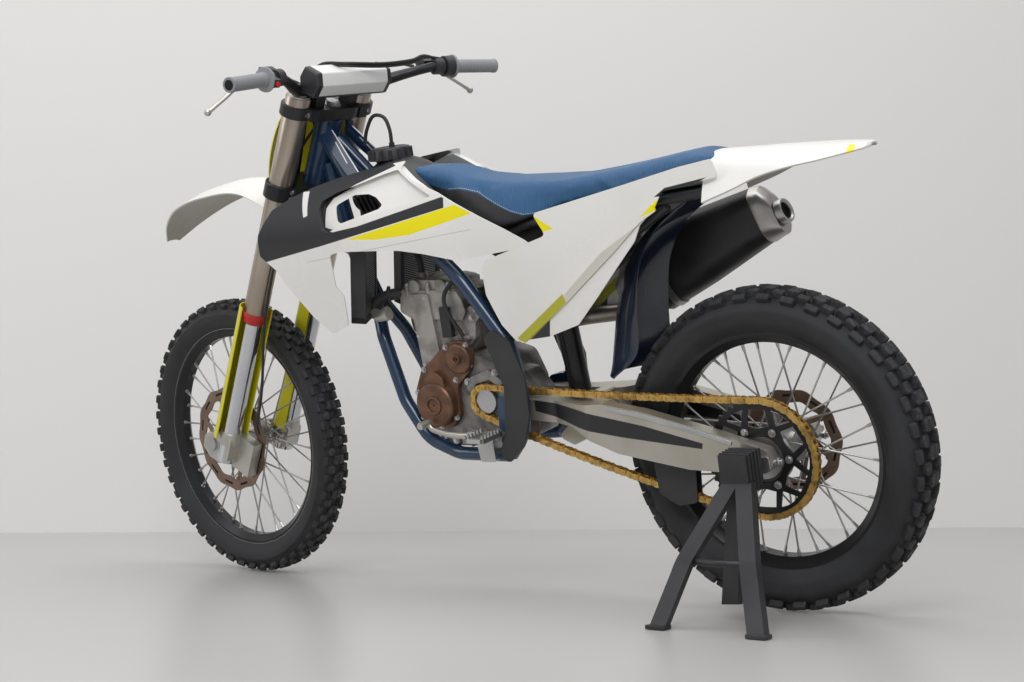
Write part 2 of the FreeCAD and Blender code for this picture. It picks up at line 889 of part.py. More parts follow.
def stand(axle_end, axle_line):
    """Three legs from a block that the hollow rear axle plugs into."""
    start = axle_end + axle_line * fit_gap
    middle = axle_end + axle_line * 32
    block = Part.makeBox(62, 62, 70, vec(-31, 0, -31))
    block.rotate(vec(0, 0, 0), vec(1, 0, 0), math.degrees(math.atan2(axle_line.z, axle_line.y)))
    block.translate(start)
    pieces = [block]
    feet = ((84, 178, 0, 0.55), (-140, 190, 0, 0.55), (36, -26, stand_inner_lift, 0.5))
    for reach_x, reach_y, lift, knee in feet:
        foot = vec(middle.x + reach_x, middle.y + reach_y, lift)
        knee_point = vec(middle.x + reach_x * 0.66, middle.y + reach_y * 0.7, middle.z * 0.42 + lift)
        hip = vec(middle.x + reach_x * 0.12, middle.y + reach_y * 0.06, middle.z - 20)
        path = rounded_path([hip, knee_point, foot], 120)
        corner = [vec(-0.5 * stand_leg_width, -0.5 * stand_leg_depth, 0),
                  vec(0.5 * stand_leg_width, -0.5 * stand_leg_depth, 0),
                  vec(0.5 * stand_leg_width, 0.5 * stand_leg_depth, 0),
                  vec(-0.5 * stand_leg_width, 0.5 * stand_leg_depth, 0)]
        profile = Part.makePolygon(corner + [corner[0]])
        profile.Placement = FreeCAD.Placement(hip, FreeCAD.Rotation())
        pieces.append(path.makePipeShell([profile], True, False))
    whole = joined(pieces)
    return whole.cut(Part.makeBox(900, 900, 200, vec(-450, -450, -200)))


def ring_floor(centre, outer, half, turn):
    """The lowest point of a tyre's round outline after a rotation."""
    axis = turn.multVec(across)
    place = turn.multVec(centre)
    reach = math.sqrt(1 - axis.z ** 2)
    lowest = None
    for y, radius in ((half * 0.4, outer - 2), (half * 0.86, outer - 14), (half, outer - 26)):
        height = place.z - abs(y * axis.z) - radius * reach
        lowest = height if lowest is None else min(lowest, height)
    return lowest


def parked():
    """The rotation and lift that put both tyres on the floor when leaned to the left."""
    lean = FreeCAD.Rotation(vec(1, 0, 0), -lean_rest)
    steer = FreeCAD.Rotation(steer_up, steer_rest)
    pitch = 0.0
    for attempt in range(4):
        turn = FreeCAD.Rotation(across, pitch).multiply(lean)
        back = ring_floor(rear_axle, rear_tyre_radius, rear_tyre_half, turn)
        swung = steer.multVec(front_axle - steer_foot) + steer_foot
        whole = turn.multiply(steer)
        axis = whole.multVec(across)
        reach = math.sqrt(1 - axis.z ** 2)
        place = turn.multVec(swung)
        front = min(place.z - abs(y * axis.z) - radius * reach for y, radius in (
            (front_tyre_half * 0.4, front_tyre_radius - 2),
            (front_tyre_half * 0.86, front_tyre_radius - 14), (front_tyre_half, front_tyre_radius - 26)))
        pitch += math.degrees((front - back) / wheelbase)
    return FreeCAD.Placement(vec(0, 0, -back), turn)


def chassis_nodes():
    head = head_tube()
    left_spar = spar().cut(head_core())
    tube_down = down_tube().cut(head_core())
    tube_down = tube_down.cut(left_spar).cut(mirrored(left_spar))
    left_cradle = cradle().cut(tube_down).cut(left_spar)
    left_cradle = left_cradle.cut(mirrored(left_cradle))
    left_rails = subframe().cut(left_spar)
    frame_solids = [left_spar, mirrored(left_spar), tube_down, left_cradle, mirrored(left_cradle),
                    left_rails, mirrored(left_rails)]
    cases = engine_cases().cut(Part.makeCompound(frame_solids))
    barrel = cylinder().cut(cases)
    header = exhaust_header().cut(Part.makeCompound(frame_solids + [barrel, cases]))
    tank = fuel_tank().cut(Part.makeCompound(frame_solids)).cut(head)
    radiators = radiator().cut(Part.makeCompound(frame_solids + [tank, mirrored(tank)]))
    bench = seat().cut(tank).cut(Part.makeCompound(frame_solids))
    left_shroud = shroud().cut(tank).cut(radiators)
    box = airbox().cut(Part.makeCompound(frame_solids + [bench, tank]))
    cover = side_cover().cut(left_shroud).cut(bench).cut(left_rails)
    fender = rear_fender().cut(bench).cut(Part.makeCompound(frame_solids + [cover, mirrored(cover)]))
    pivot = pivot_bolt()
    left_spar = left_spar.cut(pivot)
    frame_solids[0] = left_spar
    frame_solids[1] = mirrored(left_spar)
    cases = cases.cut(pivot)
    arm = swingarm().cut(Part.makeCompound(frame_solids + [cases]))
    axle = rear_axle_bar()
    arm = arm.cut(rear_axle_core())
    can = silencer().cut(header)
    right_cover = mirrored(cover).cut(can).cut(header)
    guard_inner = inner_guard().cut(Part.makeCompound(frame_solids + [box, arm]))
    damper = rear_shock().cut(Part.makeCompound([box, arm, guard_inner, cases]))
    link = linkage().cut(Part.makeCompound([damper, arm, cases]))
    inlet = intake().cut(Part.makeCompound([barrel, box, tank]))
    return {
        "head_tube": head,
        "frame_spar_left": left_spar,
        "frame_spar_right": mirrored(left_spar),
        "down_tube": tube_down,
        "cradle_left": left_cradle,
        "cradle_right": mirrored(left_cradle),
        "subframe_left": left_rails,
        "subframe_right": mirrored(left_rails),
        "frame_guard_left": frame_guard(),
        "frame_guard_right": mirrored(frame_guard()),
        "engine_cases": cases,
        "cylinder": barrel,
        "ignition_cover": ignition_cover(),
        "clutch_cover": clutch_cover().cut(Part.makeCompound(frame_solids)),
        "front_sprocket": front_sprocket(),
        "exhaust_header": header,
        "intake": inlet,
        "silencer": can,
        "silencer_cap": silencer_cap(),
        "radiator_left": radiators,
        "radiator_right": mirrored(radiators),
        "shroud_left": left_shroud,
        "shroud_right": mirrored(left_shroud),
        "fuel_tank": tank,
        "tank_cap": tank_cap().cut(tank),
        "seat": bench,
        "side_cover_left": cover,
        "side_cover_right": right_cover,
        "rear_fender": fender,
        "inner_guard": guard_inner,
        "airbox": box,
        "swingarm": arm,
        "shock": damper,
        "linkage": link,
        "rear_axle": axle,
        "swingarm_pivot": pivot,
        "chain_guide": chain_guide(),
        "chain": chain(),
    }


def steering_nodes():
    outer = fork_outer()
    lower = lower_clamp().cut(both_sides(outer))
    bars = handlebar()
    upper = upper_clamp().cut(both_sides(outer)).cut(bars)
    inner = fork_inner()
    axle = front_axle_bar()
    guard = fork_guard().cut(inner).cut(outer).cut(front_axle_core())
    pad = bar_pad().cut(bars).cut(upper)
    caliper = front_caliper().cut(inner)
    fender = front_fender().cut(both_sides(outer)).cut(lower)
    return {
        "lower_clamp": lower,
        "upper_clamp": upper,
        "fork_outer_tubes": both_sides(outer),
        "fork_inner_tubes": both_sides(inner.cut(front_axle_core())),
        "fork_guards": both_sides(guard),
        "front_axle": axle,
        "handlebar": bars,
        "grips": both_sides(grip()),
        "bar_pad": pad,
        "clutch_lever": clutch_lever().cut(bars),
        "brake_lever": mirrored(clutch_lever()).cut(bars),
        "front_fender": fender,
        "number_plate": number_plate().cut(fender),
        "front_caliper": caliper,
    }


def front_wheel_nodes():
    spoked = front_wheel()
    rubber = tyre(front_axle, front_tyre_radius, front_tyre_half, front_bead_radius, front_rim_half - 3.3)
    rotor = disc(front_axle, front_disc_y, front_disc_radius)
    return {
        "front_tyre": rubber.cut(spoked),
        "front_rim": spoked,
        "front_disc": rotor.cut(spoked),
    }


def rear_wheel_nodes():
    spoked = rear_wheel()
    rubber = tyre(rear_axle, rear_tyre_radius, rear_tyre_half, rear_bead_radius, rear_rim_half - 3.3)
    rotor = disc(rear_axle, rear_disc_y, rear_disc_radius)
    return {
        "rear_tyre": rubber.cut(spoked),
        "rear_rim": spoked,
        "rear_disc": rotor.cut(spoked),
        "rear_sprocket": rear_sprocket(),
    }


def placed(shape, placement):
    copy = shape.copy()
    copy.Placement = placement.multiply(copy.Placement)
    return copy


def assembly():
    """All nodes where they stand, and the placement of the bike and of its steering."""
    park = parked()
    steer = FreeCAD.Placement(vec(0, 0, 0), FreeCAD.Rotation(steer_up, steer_rest), steer_foot)
    groups = {"chassis": chassis_nodes(), "rear_wheel": rear_wheel_nodes(),
              "steering": steering_nodes(), "front_wheel": front_wheel_nodes()}
    nodes = {}
    bodies = {}
    for body, shapes in groups.items():
        bodies[body] = list(shapes)
        place = park.multiply(steer) if body in ("steering", "front_wheel") else park
        for name, shape in shapes.items():
            nodes[name] = placed(shape, place)
    axle_line = park.Rotation.multVec(across)
    axle_end = park.multVec(rear_axle + across * axle_end_y)
    nodes["stand"] = stand(axle_end, axle_line)
    bodies["chassis"].append("stand")
    box = Part.makeCompound(list(nodes.values())).BoundBox
    shift = vec(-(box.XMin + box.XMax) / 2, -(box.YMin + box.YMax) / 2, 0)
    centre = FreeCAD.Placement(shift, FreeCAD.Rotation())
    for name in nodes:
        nodes[name] = placed(nodes[name], centre)
    return nodes, bodies, centre.multiply(park), centre.multiply(park).multiply(steer)


def main():
    os.makedirs("parts", exist_ok=True)
    nodes, bodies, park, steer = assembly()
    for name, shape in nodes.items():
        shape.exportStep("parts/%s.step" % name)
    print(len(nodes), "nodes")


if __name__ == "__main__":
    main()
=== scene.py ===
import json
import math

import bmesh
import bpy
import numpy as np
from mathutils import Matrix, Vector


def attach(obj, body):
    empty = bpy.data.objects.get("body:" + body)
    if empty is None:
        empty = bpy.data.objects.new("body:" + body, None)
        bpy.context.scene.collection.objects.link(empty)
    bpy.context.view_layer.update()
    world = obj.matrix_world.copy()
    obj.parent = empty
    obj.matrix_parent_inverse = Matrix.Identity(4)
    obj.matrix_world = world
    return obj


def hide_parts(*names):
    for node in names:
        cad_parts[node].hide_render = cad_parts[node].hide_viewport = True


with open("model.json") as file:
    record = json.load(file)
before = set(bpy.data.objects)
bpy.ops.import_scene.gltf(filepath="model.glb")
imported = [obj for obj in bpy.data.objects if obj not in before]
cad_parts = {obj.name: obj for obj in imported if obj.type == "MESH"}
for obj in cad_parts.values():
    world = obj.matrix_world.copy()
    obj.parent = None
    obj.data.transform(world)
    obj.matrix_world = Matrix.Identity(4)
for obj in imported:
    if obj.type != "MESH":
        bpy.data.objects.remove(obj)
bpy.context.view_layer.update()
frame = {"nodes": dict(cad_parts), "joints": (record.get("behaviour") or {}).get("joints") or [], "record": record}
nodes = frame["nodes"]
joints = {joint["name"]: joint for joint in frame["joints"]}
print("frame loaded:", len(nodes), "nodes")

rearAxle = Vector(joints["rear_wheel_spin"]["pos_m"])


# places on the bike: x ahead of the rear axle, y left, z up, in mm, before it is steered and leaned

stance = {
    "yaw": 0.0, "pitch": 0.0760685, "roll": -13.26, "axle": (0.0, 0.0, 341.0),
    "frontYaw": -8.1392118, "frontPitch": -1.5340449, "frontRoll": -9.0841042, "frontAxle": (1485.0, 0.0, 346.0),
    "rake": 26.1, "foot": 1595.0,  # degrees, and where the steering axis meets the ground line
}


def bodyMatrix(yaw, pitch, roll, place, target):
    # turns by roll, pitch and yaw, then moves the given place onto its target in mm
    y, p, r = (math.radians(a) for a in (yaw, pitch, roll))
    turn = Matrix.Rotation(y, 4, "Z") @ Matrix.Rotation(p, 4, "Y") @ Matrix.Rotation(r, 4, "X")
    return Matrix.Translation(Vector(target) * 1000 - turn @ Vector(place)) @ turn


def forkMatrix():
    # ahead of the steering axis, left, and up along it
    turn = math.radians(stance["rake"])
    c, s = math.cos(turn), math.sin(turn)
    return Matrix(((c, 0, -s, stance["foot"]), (0, 1, 0, 0), (s, 0, c, 0), (0, 0, 0, 1)))


bikeToRow = bodyMatrix(stance["yaw"], stance["pitch"], stance["roll"], stance["axle"], rearAxle)
frontToRow = bodyMatrix(stance["frontYaw"], stance["frontPitch"], stance["frontRoll"], stance["frontAxle"],
                        joints["front_wheel_spin"]["pos_m"])
forkToRow = frontToRow @ forkMatrix()


# camera, lights and the plain room

view = {
    "fromAxle": (-1.85901, 3.52262, 0.16925),  # metres from the rear axle to the lens
    "yaw": 35.669, "pitch": 0.7745, "roll": -0.3278,  # degrees
    "lens": 67.948, "sensor": 36.0, "reach": 100.0,
}
room = {
    "floorColour": (0.50, 0.49, 0.475), "wallColour": (0.76, 0.75, 0.73),
    "wallDistance": 6.0, "wallTall": 14.0, "wallRough": 0.9, "size": 40.0, "floorDrop": 0.0005,
    "floorNoise": 0.9, "floorDetail": 6, "floorRough": (0.24, 0.42), "floorSpecular": 0.35,
}
lamps = {
    "world": 0.50, "worldColour": (0.93, 0.95, 1.0, 1), "target": (0.0, 0.0, 0.5),
    "keyPlace": (-2.2, 3.6, 3.4), "keySize": 2.4, "keyPower": 104.0,
    "fillPlace": (3.6, 3.0, 2.6), "fillSize": 3.0, "fillPower": 46.0,
    "topPlace": (0.0, 0.0, 4.2), "topSize": 4.0, "topPower": 82.0,
    "rimPlace": (1.0, -4.0, 3.0), "rimSize": 3.0, "rimPower": 58.0,
}


def lookMatrix(place, yaw, pitch, roll):
    # forward from yaw and pitch, then the picture is turned by roll about it
    y, p, r = (math.radians(a) for a in (yaw, pitch, roll))
    forward = Vector((math.sin(y) * math.cos(p), -math.cos(y) * math.cos(p), math.sin(p)))
    right = forward.cross(Vector((0, 0, 1))).normalized()
    up = right.cross(forward)
    right, up = (right * math.cos(r) + up * math.sin(r), up * math.cos(r) - right * math.sin(r))
    turn = Matrix((right, up, -forward)).transposed().to_4x4()
    return Matrix.Translation(place) @ turn


def addCamera():
    data = bpy.data.cameras.new("photoCamera")
    data.lens = view["lens"]
    data.sensor_width = view["sensor"]
    data.clip_end = view["reach"]
    camera = bpy.data.objects.new("photoCamera", data)
    bpy.context.scene.collection.objects.link(camera)
    camera.matrix_world = lookMatrix(rearAxle + Vector(view["fromAxle"]), view["yaw"], view["pitch"], view["roll"])
    bpy.context.scene.camera = camera


def addLamp(name, place, size, power):
    data = bpy.data.lights.new(name, "AREA")
    data.shape = "DISK"
    data.size = size
    data.energy = power
    lamp = bpy.data.objects.new(name, data)
    bpy.context.scene.collection.objects.link(lamp)
    lamp.location = place
    lamp.rotation_euler = (Vector(lamps["target"]) - Vector(place)).to_track_quat("-Z", "Y").to_euler()


def newMaterial(name):
    material = bpy.data.materials.new(name)
    material.use_nodes = True
    tree = material.node_tree
    return material, tree, tree.nodes["Principled BSDF"]


def addNode(tree, kind, inputs=(), operation=None):
    # a shader node whose named or numbered inputs are set, or linked where a socket is given
    node = tree.nodes.new("ShaderNode" + kind)
    if operation:
        node.operation = operation
    for name, value in dict(inputs).items():
        if isinstance(value, bpy.types.NodeSocket):
            tree.links.new(value, node.inputs[name])
        else:
            node.inputs[name].default_value = value
    return node


def addRoom():
    # a floor that varies a little in gloss, and a wall that only its front side shows
    size = room["size"]
    square = np.array(((-size, -size, 0), (size, -size, 0), (size, size, 0), (-size, size, 0)))
    floor = meshObject("roomFloor", square + (0, 0, -room["floorDrop"]), [(0, 1, 2, 3)])
    material, tree, shader = newMaterial("paleFloor")
    shader.inputs["Base Color"].default_value = (*room["floorColour"], 1)
    shader.inputs["Specular IOR Level"].default_value = room["floorSpecular"]
    coords = addNode(tree, "TexCoord").outputs["Object"]
    noise = addNode(tree, "TexNoise", {"Vector": coords, "Scale": room["floorNoise"], "Detail": room["floorDetail"]})
    low, high = room["floorRough"]
    ramp = addNode(tree, "MapRange", {"Value": noise.outputs["Fac"], "To Min": low, "To Max": high})
    tree.links.new(ramp.outputs["Result"], shader.inputs["Roughness"])
    floor.data.materials.append(material)

    yaw = math.radians(view["yaw"])
    ahead = Vector((math.sin(yaw), -math.cos(yaw), 0))
    side = Vector((math.cos(yaw), math.sin(yaw), 0)) * size
    foot = rearAxle + Vector(view["fromAxle"]) + ahead * room["wallDistance"]
    foot.z = 0
    up = Vector((0, 0, room["wallTall"]))
    corners = [foot - side, foot + side, foot + side + up, foot - side + up]
    wall = meshObject("roomWall", [tuple(corner) for corner in corners], [(3, 2, 1, 0)])
    material, tree, shader = newMaterial("paleWall")
    shader.inputs["Base Color"].default_value = (*room["wallColour"], 1)
    shader.inputs["Roughness"].default_value = room["wallRough"]
    behind = addNode(tree, "NewGeometry").outputs["Backfacing"]
    clear = addNode(tree, "BsdfTransparent").outputs["BSDF"]
    mix = addNode(tree, "MixShader", {"Fac": behind, 1: shader.outputs["BSDF"], 2: clear})
    tree.links.new(mix.outputs["Shader"], tree.nodes["Material Output"].inputs["Surface"])
    wall.data.materials.append(material)


def meshObject(name, points, faces):
    # a new object at the origin from an array of places and a list of faces
    mesh = bpy.data.meshes.new(name)
    places = np.asarray(points, dtype=float).reshape(-1, 3).tolist()
    mesh.from_pydata(places, [], [tuple(int(index) for index in face) for face in faces])
    mesh.update()
    thing = bpy.data.objects.new(name, mesh)
    bpy.context.scene.collection.objects.link(thing)
    return thing


world = bpy.data.worlds.new("paleWorld")
world.use_nodes = True
world.node_tree.nodes["Background"].inputs["Color"].default_value = lamps["worldColour"]
world.node_tree.nodes["Background"].inputs["Strength"].default_value = lamps["world"]
bpy.context.scene.world = world
bpy.context.scene.view_settings.view_transform = "Standard"
addCamera()
addRoom()
for part in ("key", "fill", "top", "rim"):
    addLamp(part + "Lamp", lamps[part + "Place"], lamps[part + "Size"], lamps[part + "Power"])
print("room, lamps and camera ready")


# node groups and helpers for colours that end on a line

def placeGroup(name, toRow):
    # the shaded point in a body's own frame, in mm
    group = bpy.data.node_groups.new(name, "ShaderNodeTree")
    group.interface.new_socket(name="Place", in_out="OUTPUT", socket_type="NodeSocketVector")
    back = toRow.inverted()
    mapping = addNode(group, "Mapping", {
        "Vector": addNode(group, "TexCoord").outputs["Object"], "Location": back.translation,
        "Rotation": back.to_3x3().to_euler("XYZ"), "Scale": (1000, 1000, 1000)})
    group.links.new(mapping.outputs["Vector"], group.nodes.new("NodeGroupOutput").inputs["Place"])
    return group


def edgeGroup():
    # how far a place lies inside one more straight edge
    group = bpy.data.node_groups.new("edgeCut", "ShaderNodeTree")
    for name, kind in (("Place", "Vector"), ("Way", "Vector"), ("Offset", "Float"), ("Inside", "Float")):
        socket = group.interface.new_socket(name=name, in_out="INPUT", socket_type="NodeSocket" + kind)
    socket.default_value = 1000
    group.interface.new_socket(name="Inside", in_out="OUTPUT", socket_type="NodeSocketFloat")
    source = group.nodes.new("NodeGroupInput").outputs
    dot = addNode(group, "VectorMath", {0: source["Place"], 1: source["Way"]}, "DOT_PRODUCT")
    total = addNode(group, "Math", {0: dot.outputs["Value"], 1: source["Offset"]}, "ADD")
    least = addNode(group, "Math", {0: total.outputs[0], 1: source["Inside"]}, "MINIMUM")
    group.links.new(least.outputs[0], group.nodes.new("NodeGroupOutput").inputs["Inside"])
    return group


bikePlace = placeGroup("bikePlace", bikeToRow)
frontPlace = placeGroup("frontPlace", frontToRow)
forkPlace = placeGroup("forkPlace", forkToRow)
edgeCut = edgeGroup()


def placeIn(material, group):
    node = material.node_tree.nodes.new("ShaderNodeGroup")
    node.node_tree = group
    return node.outputs["Place"]


def fade(material, value, low, high, fromLow=0.0, fromHigh=1.0):
    # a value turned into a mask between two limits
    limits = {"Value": value, "From Min": low, "From Max": high, "To Min": fromLow, "To Max": fromHigh}
    return addNode(material.node_tree, "MapRange", limits).outputs["Result"]


def reckon(material, operation, *values):
    # one sum of numbers or sockets
    return addNode(material.node_tree, "Math", enumerate(values), operation).outputs[0]


def zone(material, place, corners, axes=(0, 2), soft=0.6):
    # 1 inside a convex outline that is given in two of the place's axes
    points = [np.array(corner, dtype=float) for corner in corners]
    centre = sum(points) / len(points)
    inside = None
    for start, end in zip(points, points[1:] + points[:1]):
        along = (end - start) / np.hypot(*(end - start))
        way = np.array((-along[1], along[0]))
        if way.dot(centre - start) < 0:
            way = -way
        node = material.node_tree.nodes.new("ShaderNodeGroup")
        node.node_tree = edgeCut
        vector = [0.0, 0.0, 0.0]
        vector[axes[0]], vector[axes[1]] = way
        node.inputs["Way"].default_value = vector
        node.inputs["Offset"].default_value = float(-way.dot(start))
        material.node_tree.links.new(place, node.inputs["Place"])
        if inside is not None:
            material.node_tree.links.new(inside, node.inputs["Inside"])
        inside = node.outputs["Inside"]
    return fade(material, inside, -soft, soft)


def axisOf(material, place, axis):
    return addNode(material.node_tree, "SeparateXYZ", {0: place}).outputs[axis]


def anyOf(material, masks):
    # 1 where any of the masks is
    whole = masks[0]
    for mask in masks[1:]:
        whole = reckon(material, "MAXIMUM", whole, mask)
    return whole


def lineZone(material, place, start, end, near, far, soft=0.3):
    # a strip along a line, between two distances to its right
    start, end = np.array(start, dtype=float), np.array(end, dtype=float)
    along = (end - start) / np.hypot(*(end - start))
    side = np.array((along[1], -along[0]))
    return zone(material, place, (start + side * far, start + side * near, end + side * near, end + side * far),
                soft=soft)


def radiusFrom(material, place, centre):
    # distance from a line across the bike through the centre
    tree = material.node_tree
    away = addNode(tree, "VectorMath", {0: place, 1: centre}, "SUBTRACT").outputs["Vector"]
    flat = addNode(tree, "VectorMath", {0: away, 1: (1, 0, 1)}, "MULTIPLY").outputs["Vector"]
    return addNode(tree, "VectorMath", {0: flat}, "LENGTH").outputs["Value"]


def paint(material, mask, colour=None, rough=None, metallic=None, coat=None):
    # lays a colour, and if given its other values, over what the material has where the mask is 1
    tree = material.node_tree
    shader = tree.nodes["Principled BSDF"]
    for name, value in (("Base Color", colour), ("Roughness", rough), ("Metallic", metallic), ("Coat Weight", coat)):
        if value is None:
            continue
        socket = shader.inputs[name]
        mix = tree.nodes.new("ShaderNodeMix")
        if name == "Base Color":
            mix.data_type = "RGBA"
            value = (*value, 1)
        tree.links.new(mask, mix.inputs["Factor"])
        if socket.is_linked:
            tree.links.new(socket.links[0].from_socket, mix.inputs["A"])
        else:
            mix.inputs["A"].default_value = socket.default_value
        mix.inputs["B"].default_value = value
        tree.links.new(mix.outputs["Result"], socket)


def without(material, mask, hole):
    # a mask less another one
    return reckon(material, "MULTIPLY", mask, reckon(material, "SUBTRACT", 1.0, hole))


# surfaces from numbers

def inRow(points, matrix):
    # mm in a body's frame to metres in the row's
    table = np.array(matrix)
    return (np.asarray(points, dtype=float).reshape(-1, 3) @ table[:3, :3].T + table[:3, 3]) / 1000.0


def gridFaces(rows, cols, wrapRows=False, wrapCols=False):
    r, c = np.meshgrid(np.arange(rows if wrapRows else rows - 1), np.arange(cols if wrapCols else cols - 1),
                       indexing="ij")
    down, right = (r + 1) % rows, (c + 1) % cols
    quads = (r * cols + c, r * cols + right, down * cols + right, down * cols + c)
    return np.stack(quads, axis=-1).reshape(-1, 4).tolist()


def tubeFaces(rows, cols):
    # rings joined one to the next, with a flat face at both ends
    last = (rows - 1) * cols
    return gridFaces(rows, cols, wrapCols=True) + [list(range(cols)), list(range(last, last + cols))]


def repeatFaces(faces, size, count):
    # the faces of one block for each of many blocks of the same size
    return [[index + size * block for index in face] for block in range(count) for face in faces]


def shellFaces(rows, cols):
    # an outer grid, an inner grid after it, and the edge that joins them
    size = rows * cols
    outer = gridFaces(rows, cols)
    inner = (np.array(outer)[:, ::-1] + size).tolist()
    last = (rows - 1) * cols
    edge = np.concatenate((np.arange(cols), np.arange(1, rows) * cols + cols - 1,
                           last + np.arange(cols - 2, -1, -1), np.arange(rows - 2, 0, -1) * cols))
    after = np.roll(edge, -1)
    return outer + inner + np.stack((edge, edge + size, after + size, after), axis=-1).tolist()


def fullTurn(count):
    return np.linspace(0, 2 * math.pi, count, endpoint=False)


def meshPlaces(mesh):
    places = np.empty(len(mesh.vertices) * 3)
    mesh.vertices.foreach_get("co", places)
    return places.reshape(-1, 3)


def rawObject(name, part):
    # an object from (points, faces), faces outward
    thing = meshObject(name, *part)
    shape = bmesh.new()
    shape.from_mesh(thing.data)
    bmesh.ops.recalc_face_normals(shape, faces=shape.faces)
    shape.to_mesh(thing.data)
    shape.free()
    return thing


def applied(thing):
    # the object with its modifiers made into mesh
    mesh = bpy.data.meshes.new_from_object(thing.evaluated_get(bpy.context.evaluated_depsgraph_get()))
    thing.modifiers.clear()
    thing.data = mesh
    return thing


def pile(parts):
    # several (points, faces) pairs as one
    points, faces, first = [], [], 0
    for some, quads in parts:
        some = np.asarray(some, dtype=float).reshape(-1, 3)
        points.append(some)
        faces += [[index + first for index in face] for face in quads]
        first += len(some)
    return np.concatenate(points), faces


def addPiece(name, parts, matrix, material, body, angle=32.0, bevel=0.0):
    # one closed piece, faces outward, that rides on a body
    points, faces = pile(parts)
    thing = rawObject(name, (inRow(points, matrix), faces))
    thing.data.shade_smooth()
    thing.data.set_sharp_from_angle(angle=math.radians(angle))
    thing.data.materials.append(material)
    if bevel:
        edge = thing.modifiers.new("edge", "BEVEL")
        edge.width = bevel / 1000.0
        edge.segments = 2
        edge.limit_method = "ANGLE"
        edge.angle_limit = math.radians(40)
    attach(thing, body)
    return thing


def smoothPath(points, count):
    # a Catmull-Rom curve through the points
    points = np.asarray(points, dtype=float)
    ends = np.vstack((2 * points[0] - points[1], points, 2 * points[-1] - points[-2]))
    place = np.linspace(0, len(points) - 1, count)
    step = np.minimum(place.astype(int), len(points) - 2)
    t = (place - step)[:, None]
    a, b, c, d = (ends[step + k] for k in range(4))
    return 0.5 * (2 * b + (c - a) * t + (2 * a - 5 * b + 4 * c - d) * t ** 2 + (3 * b - a - 3 * c + d) * t ** 3)


def tubeMesh(path, radius, sides=12, squeeze=1.0):
    # circles square to a path, with flat ends; squeeze flattens them across the second axis
    path = np.asarray(path, dtype=float)
    tangent = np.gradient(path, axis=0)
    tangent /= np.linalg.norm(tangent, axis=1)[:, None]
    spread = np.abs(tangent).sum(axis=0)
    helper = np.eye(3)[int(np.argmin(spread))]
    side = np.cross(tangent, helper)
    side /= np.linalg.norm(side, axis=1)[:, None]
    over = np.cross(side, tangent)
    turn = fullTurn(sides)[None, :, None]
    size = np.broadcast_to(np.asarray(radius, dtype=float), (len(path),))[:, None, None]
    ring = side[:, None, :] * np.cos(turn) + squeeze * over[:, None, :] * np.sin(turn)
    points = path[:, None, :] + ring * size
    return points.reshape(-1, 3), tubeFaces(len(path), sides)


def hose(points, count, radius, sides):
    # a round tube along a smooth curve
    return tubeMesh(smoothPath(points, count), radius, sides)


def rodMesh(start, end, radius, endRadius=None, sides=16):
    return tubeMesh([start, end], [radius, radius if endRadius is None else endRadius], sides)


def turnedMesh(profile, centre, count=64):
    # a closed profile of (y, radius) turned about an axle
    profile = np.asarray(profile, dtype=float)
    turn = fullTurn(count)[:, None]
    x = centre[0] + np.cos(turn) * profile[None, :, 1]
    z = centre[2] + np.sin(turn) * profile[None, :, 1]
    y = centre[1] + np.broadcast_to(profile[None, :, 0], x.shape)
    return np.stack((x, y, z), axis=-1).reshape(-1, 3), gridFaces(count, len(profile), True, True)


def boxMesh(low, high):
    x, y, z = np.meshgrid(*zip(low, high), indexing="ij")
    points = np.stack((x, y, z), axis=-1).reshape(-1, 3)
    return points, [[0, 1, 3, 2], [4, 6, 7, 5], [0, 4, 5, 1], [2, 3, 7, 6], [0, 2, 6, 4], [1, 5, 7, 3]]


def slabMesh(outline, low, high):
    # an outline in x and z with a thickness across
    count = len(outline)
    flat = np.asarray(outline, dtype=float)
    points = [np.stack((flat[:, 0], np.full(count, y), flat[:, 1]), axis=-1) for y in (low, high)]
    return np.concatenate(points), tubeFaces(2, count)


def mirroredParts(parts):
    return [(np.asarray(points, dtype=float) * (1, -1, 1), faces) for points, faces in parts]


def bothSides(parts):
    return parts + mirroredParts(parts)


def placedParts(parts, turn, place):
    # parts turned about the origin and then moved
    return [(np.asarray(points) @ np.array(turn).T + place, faces) for points, faces in parts]


# finishes

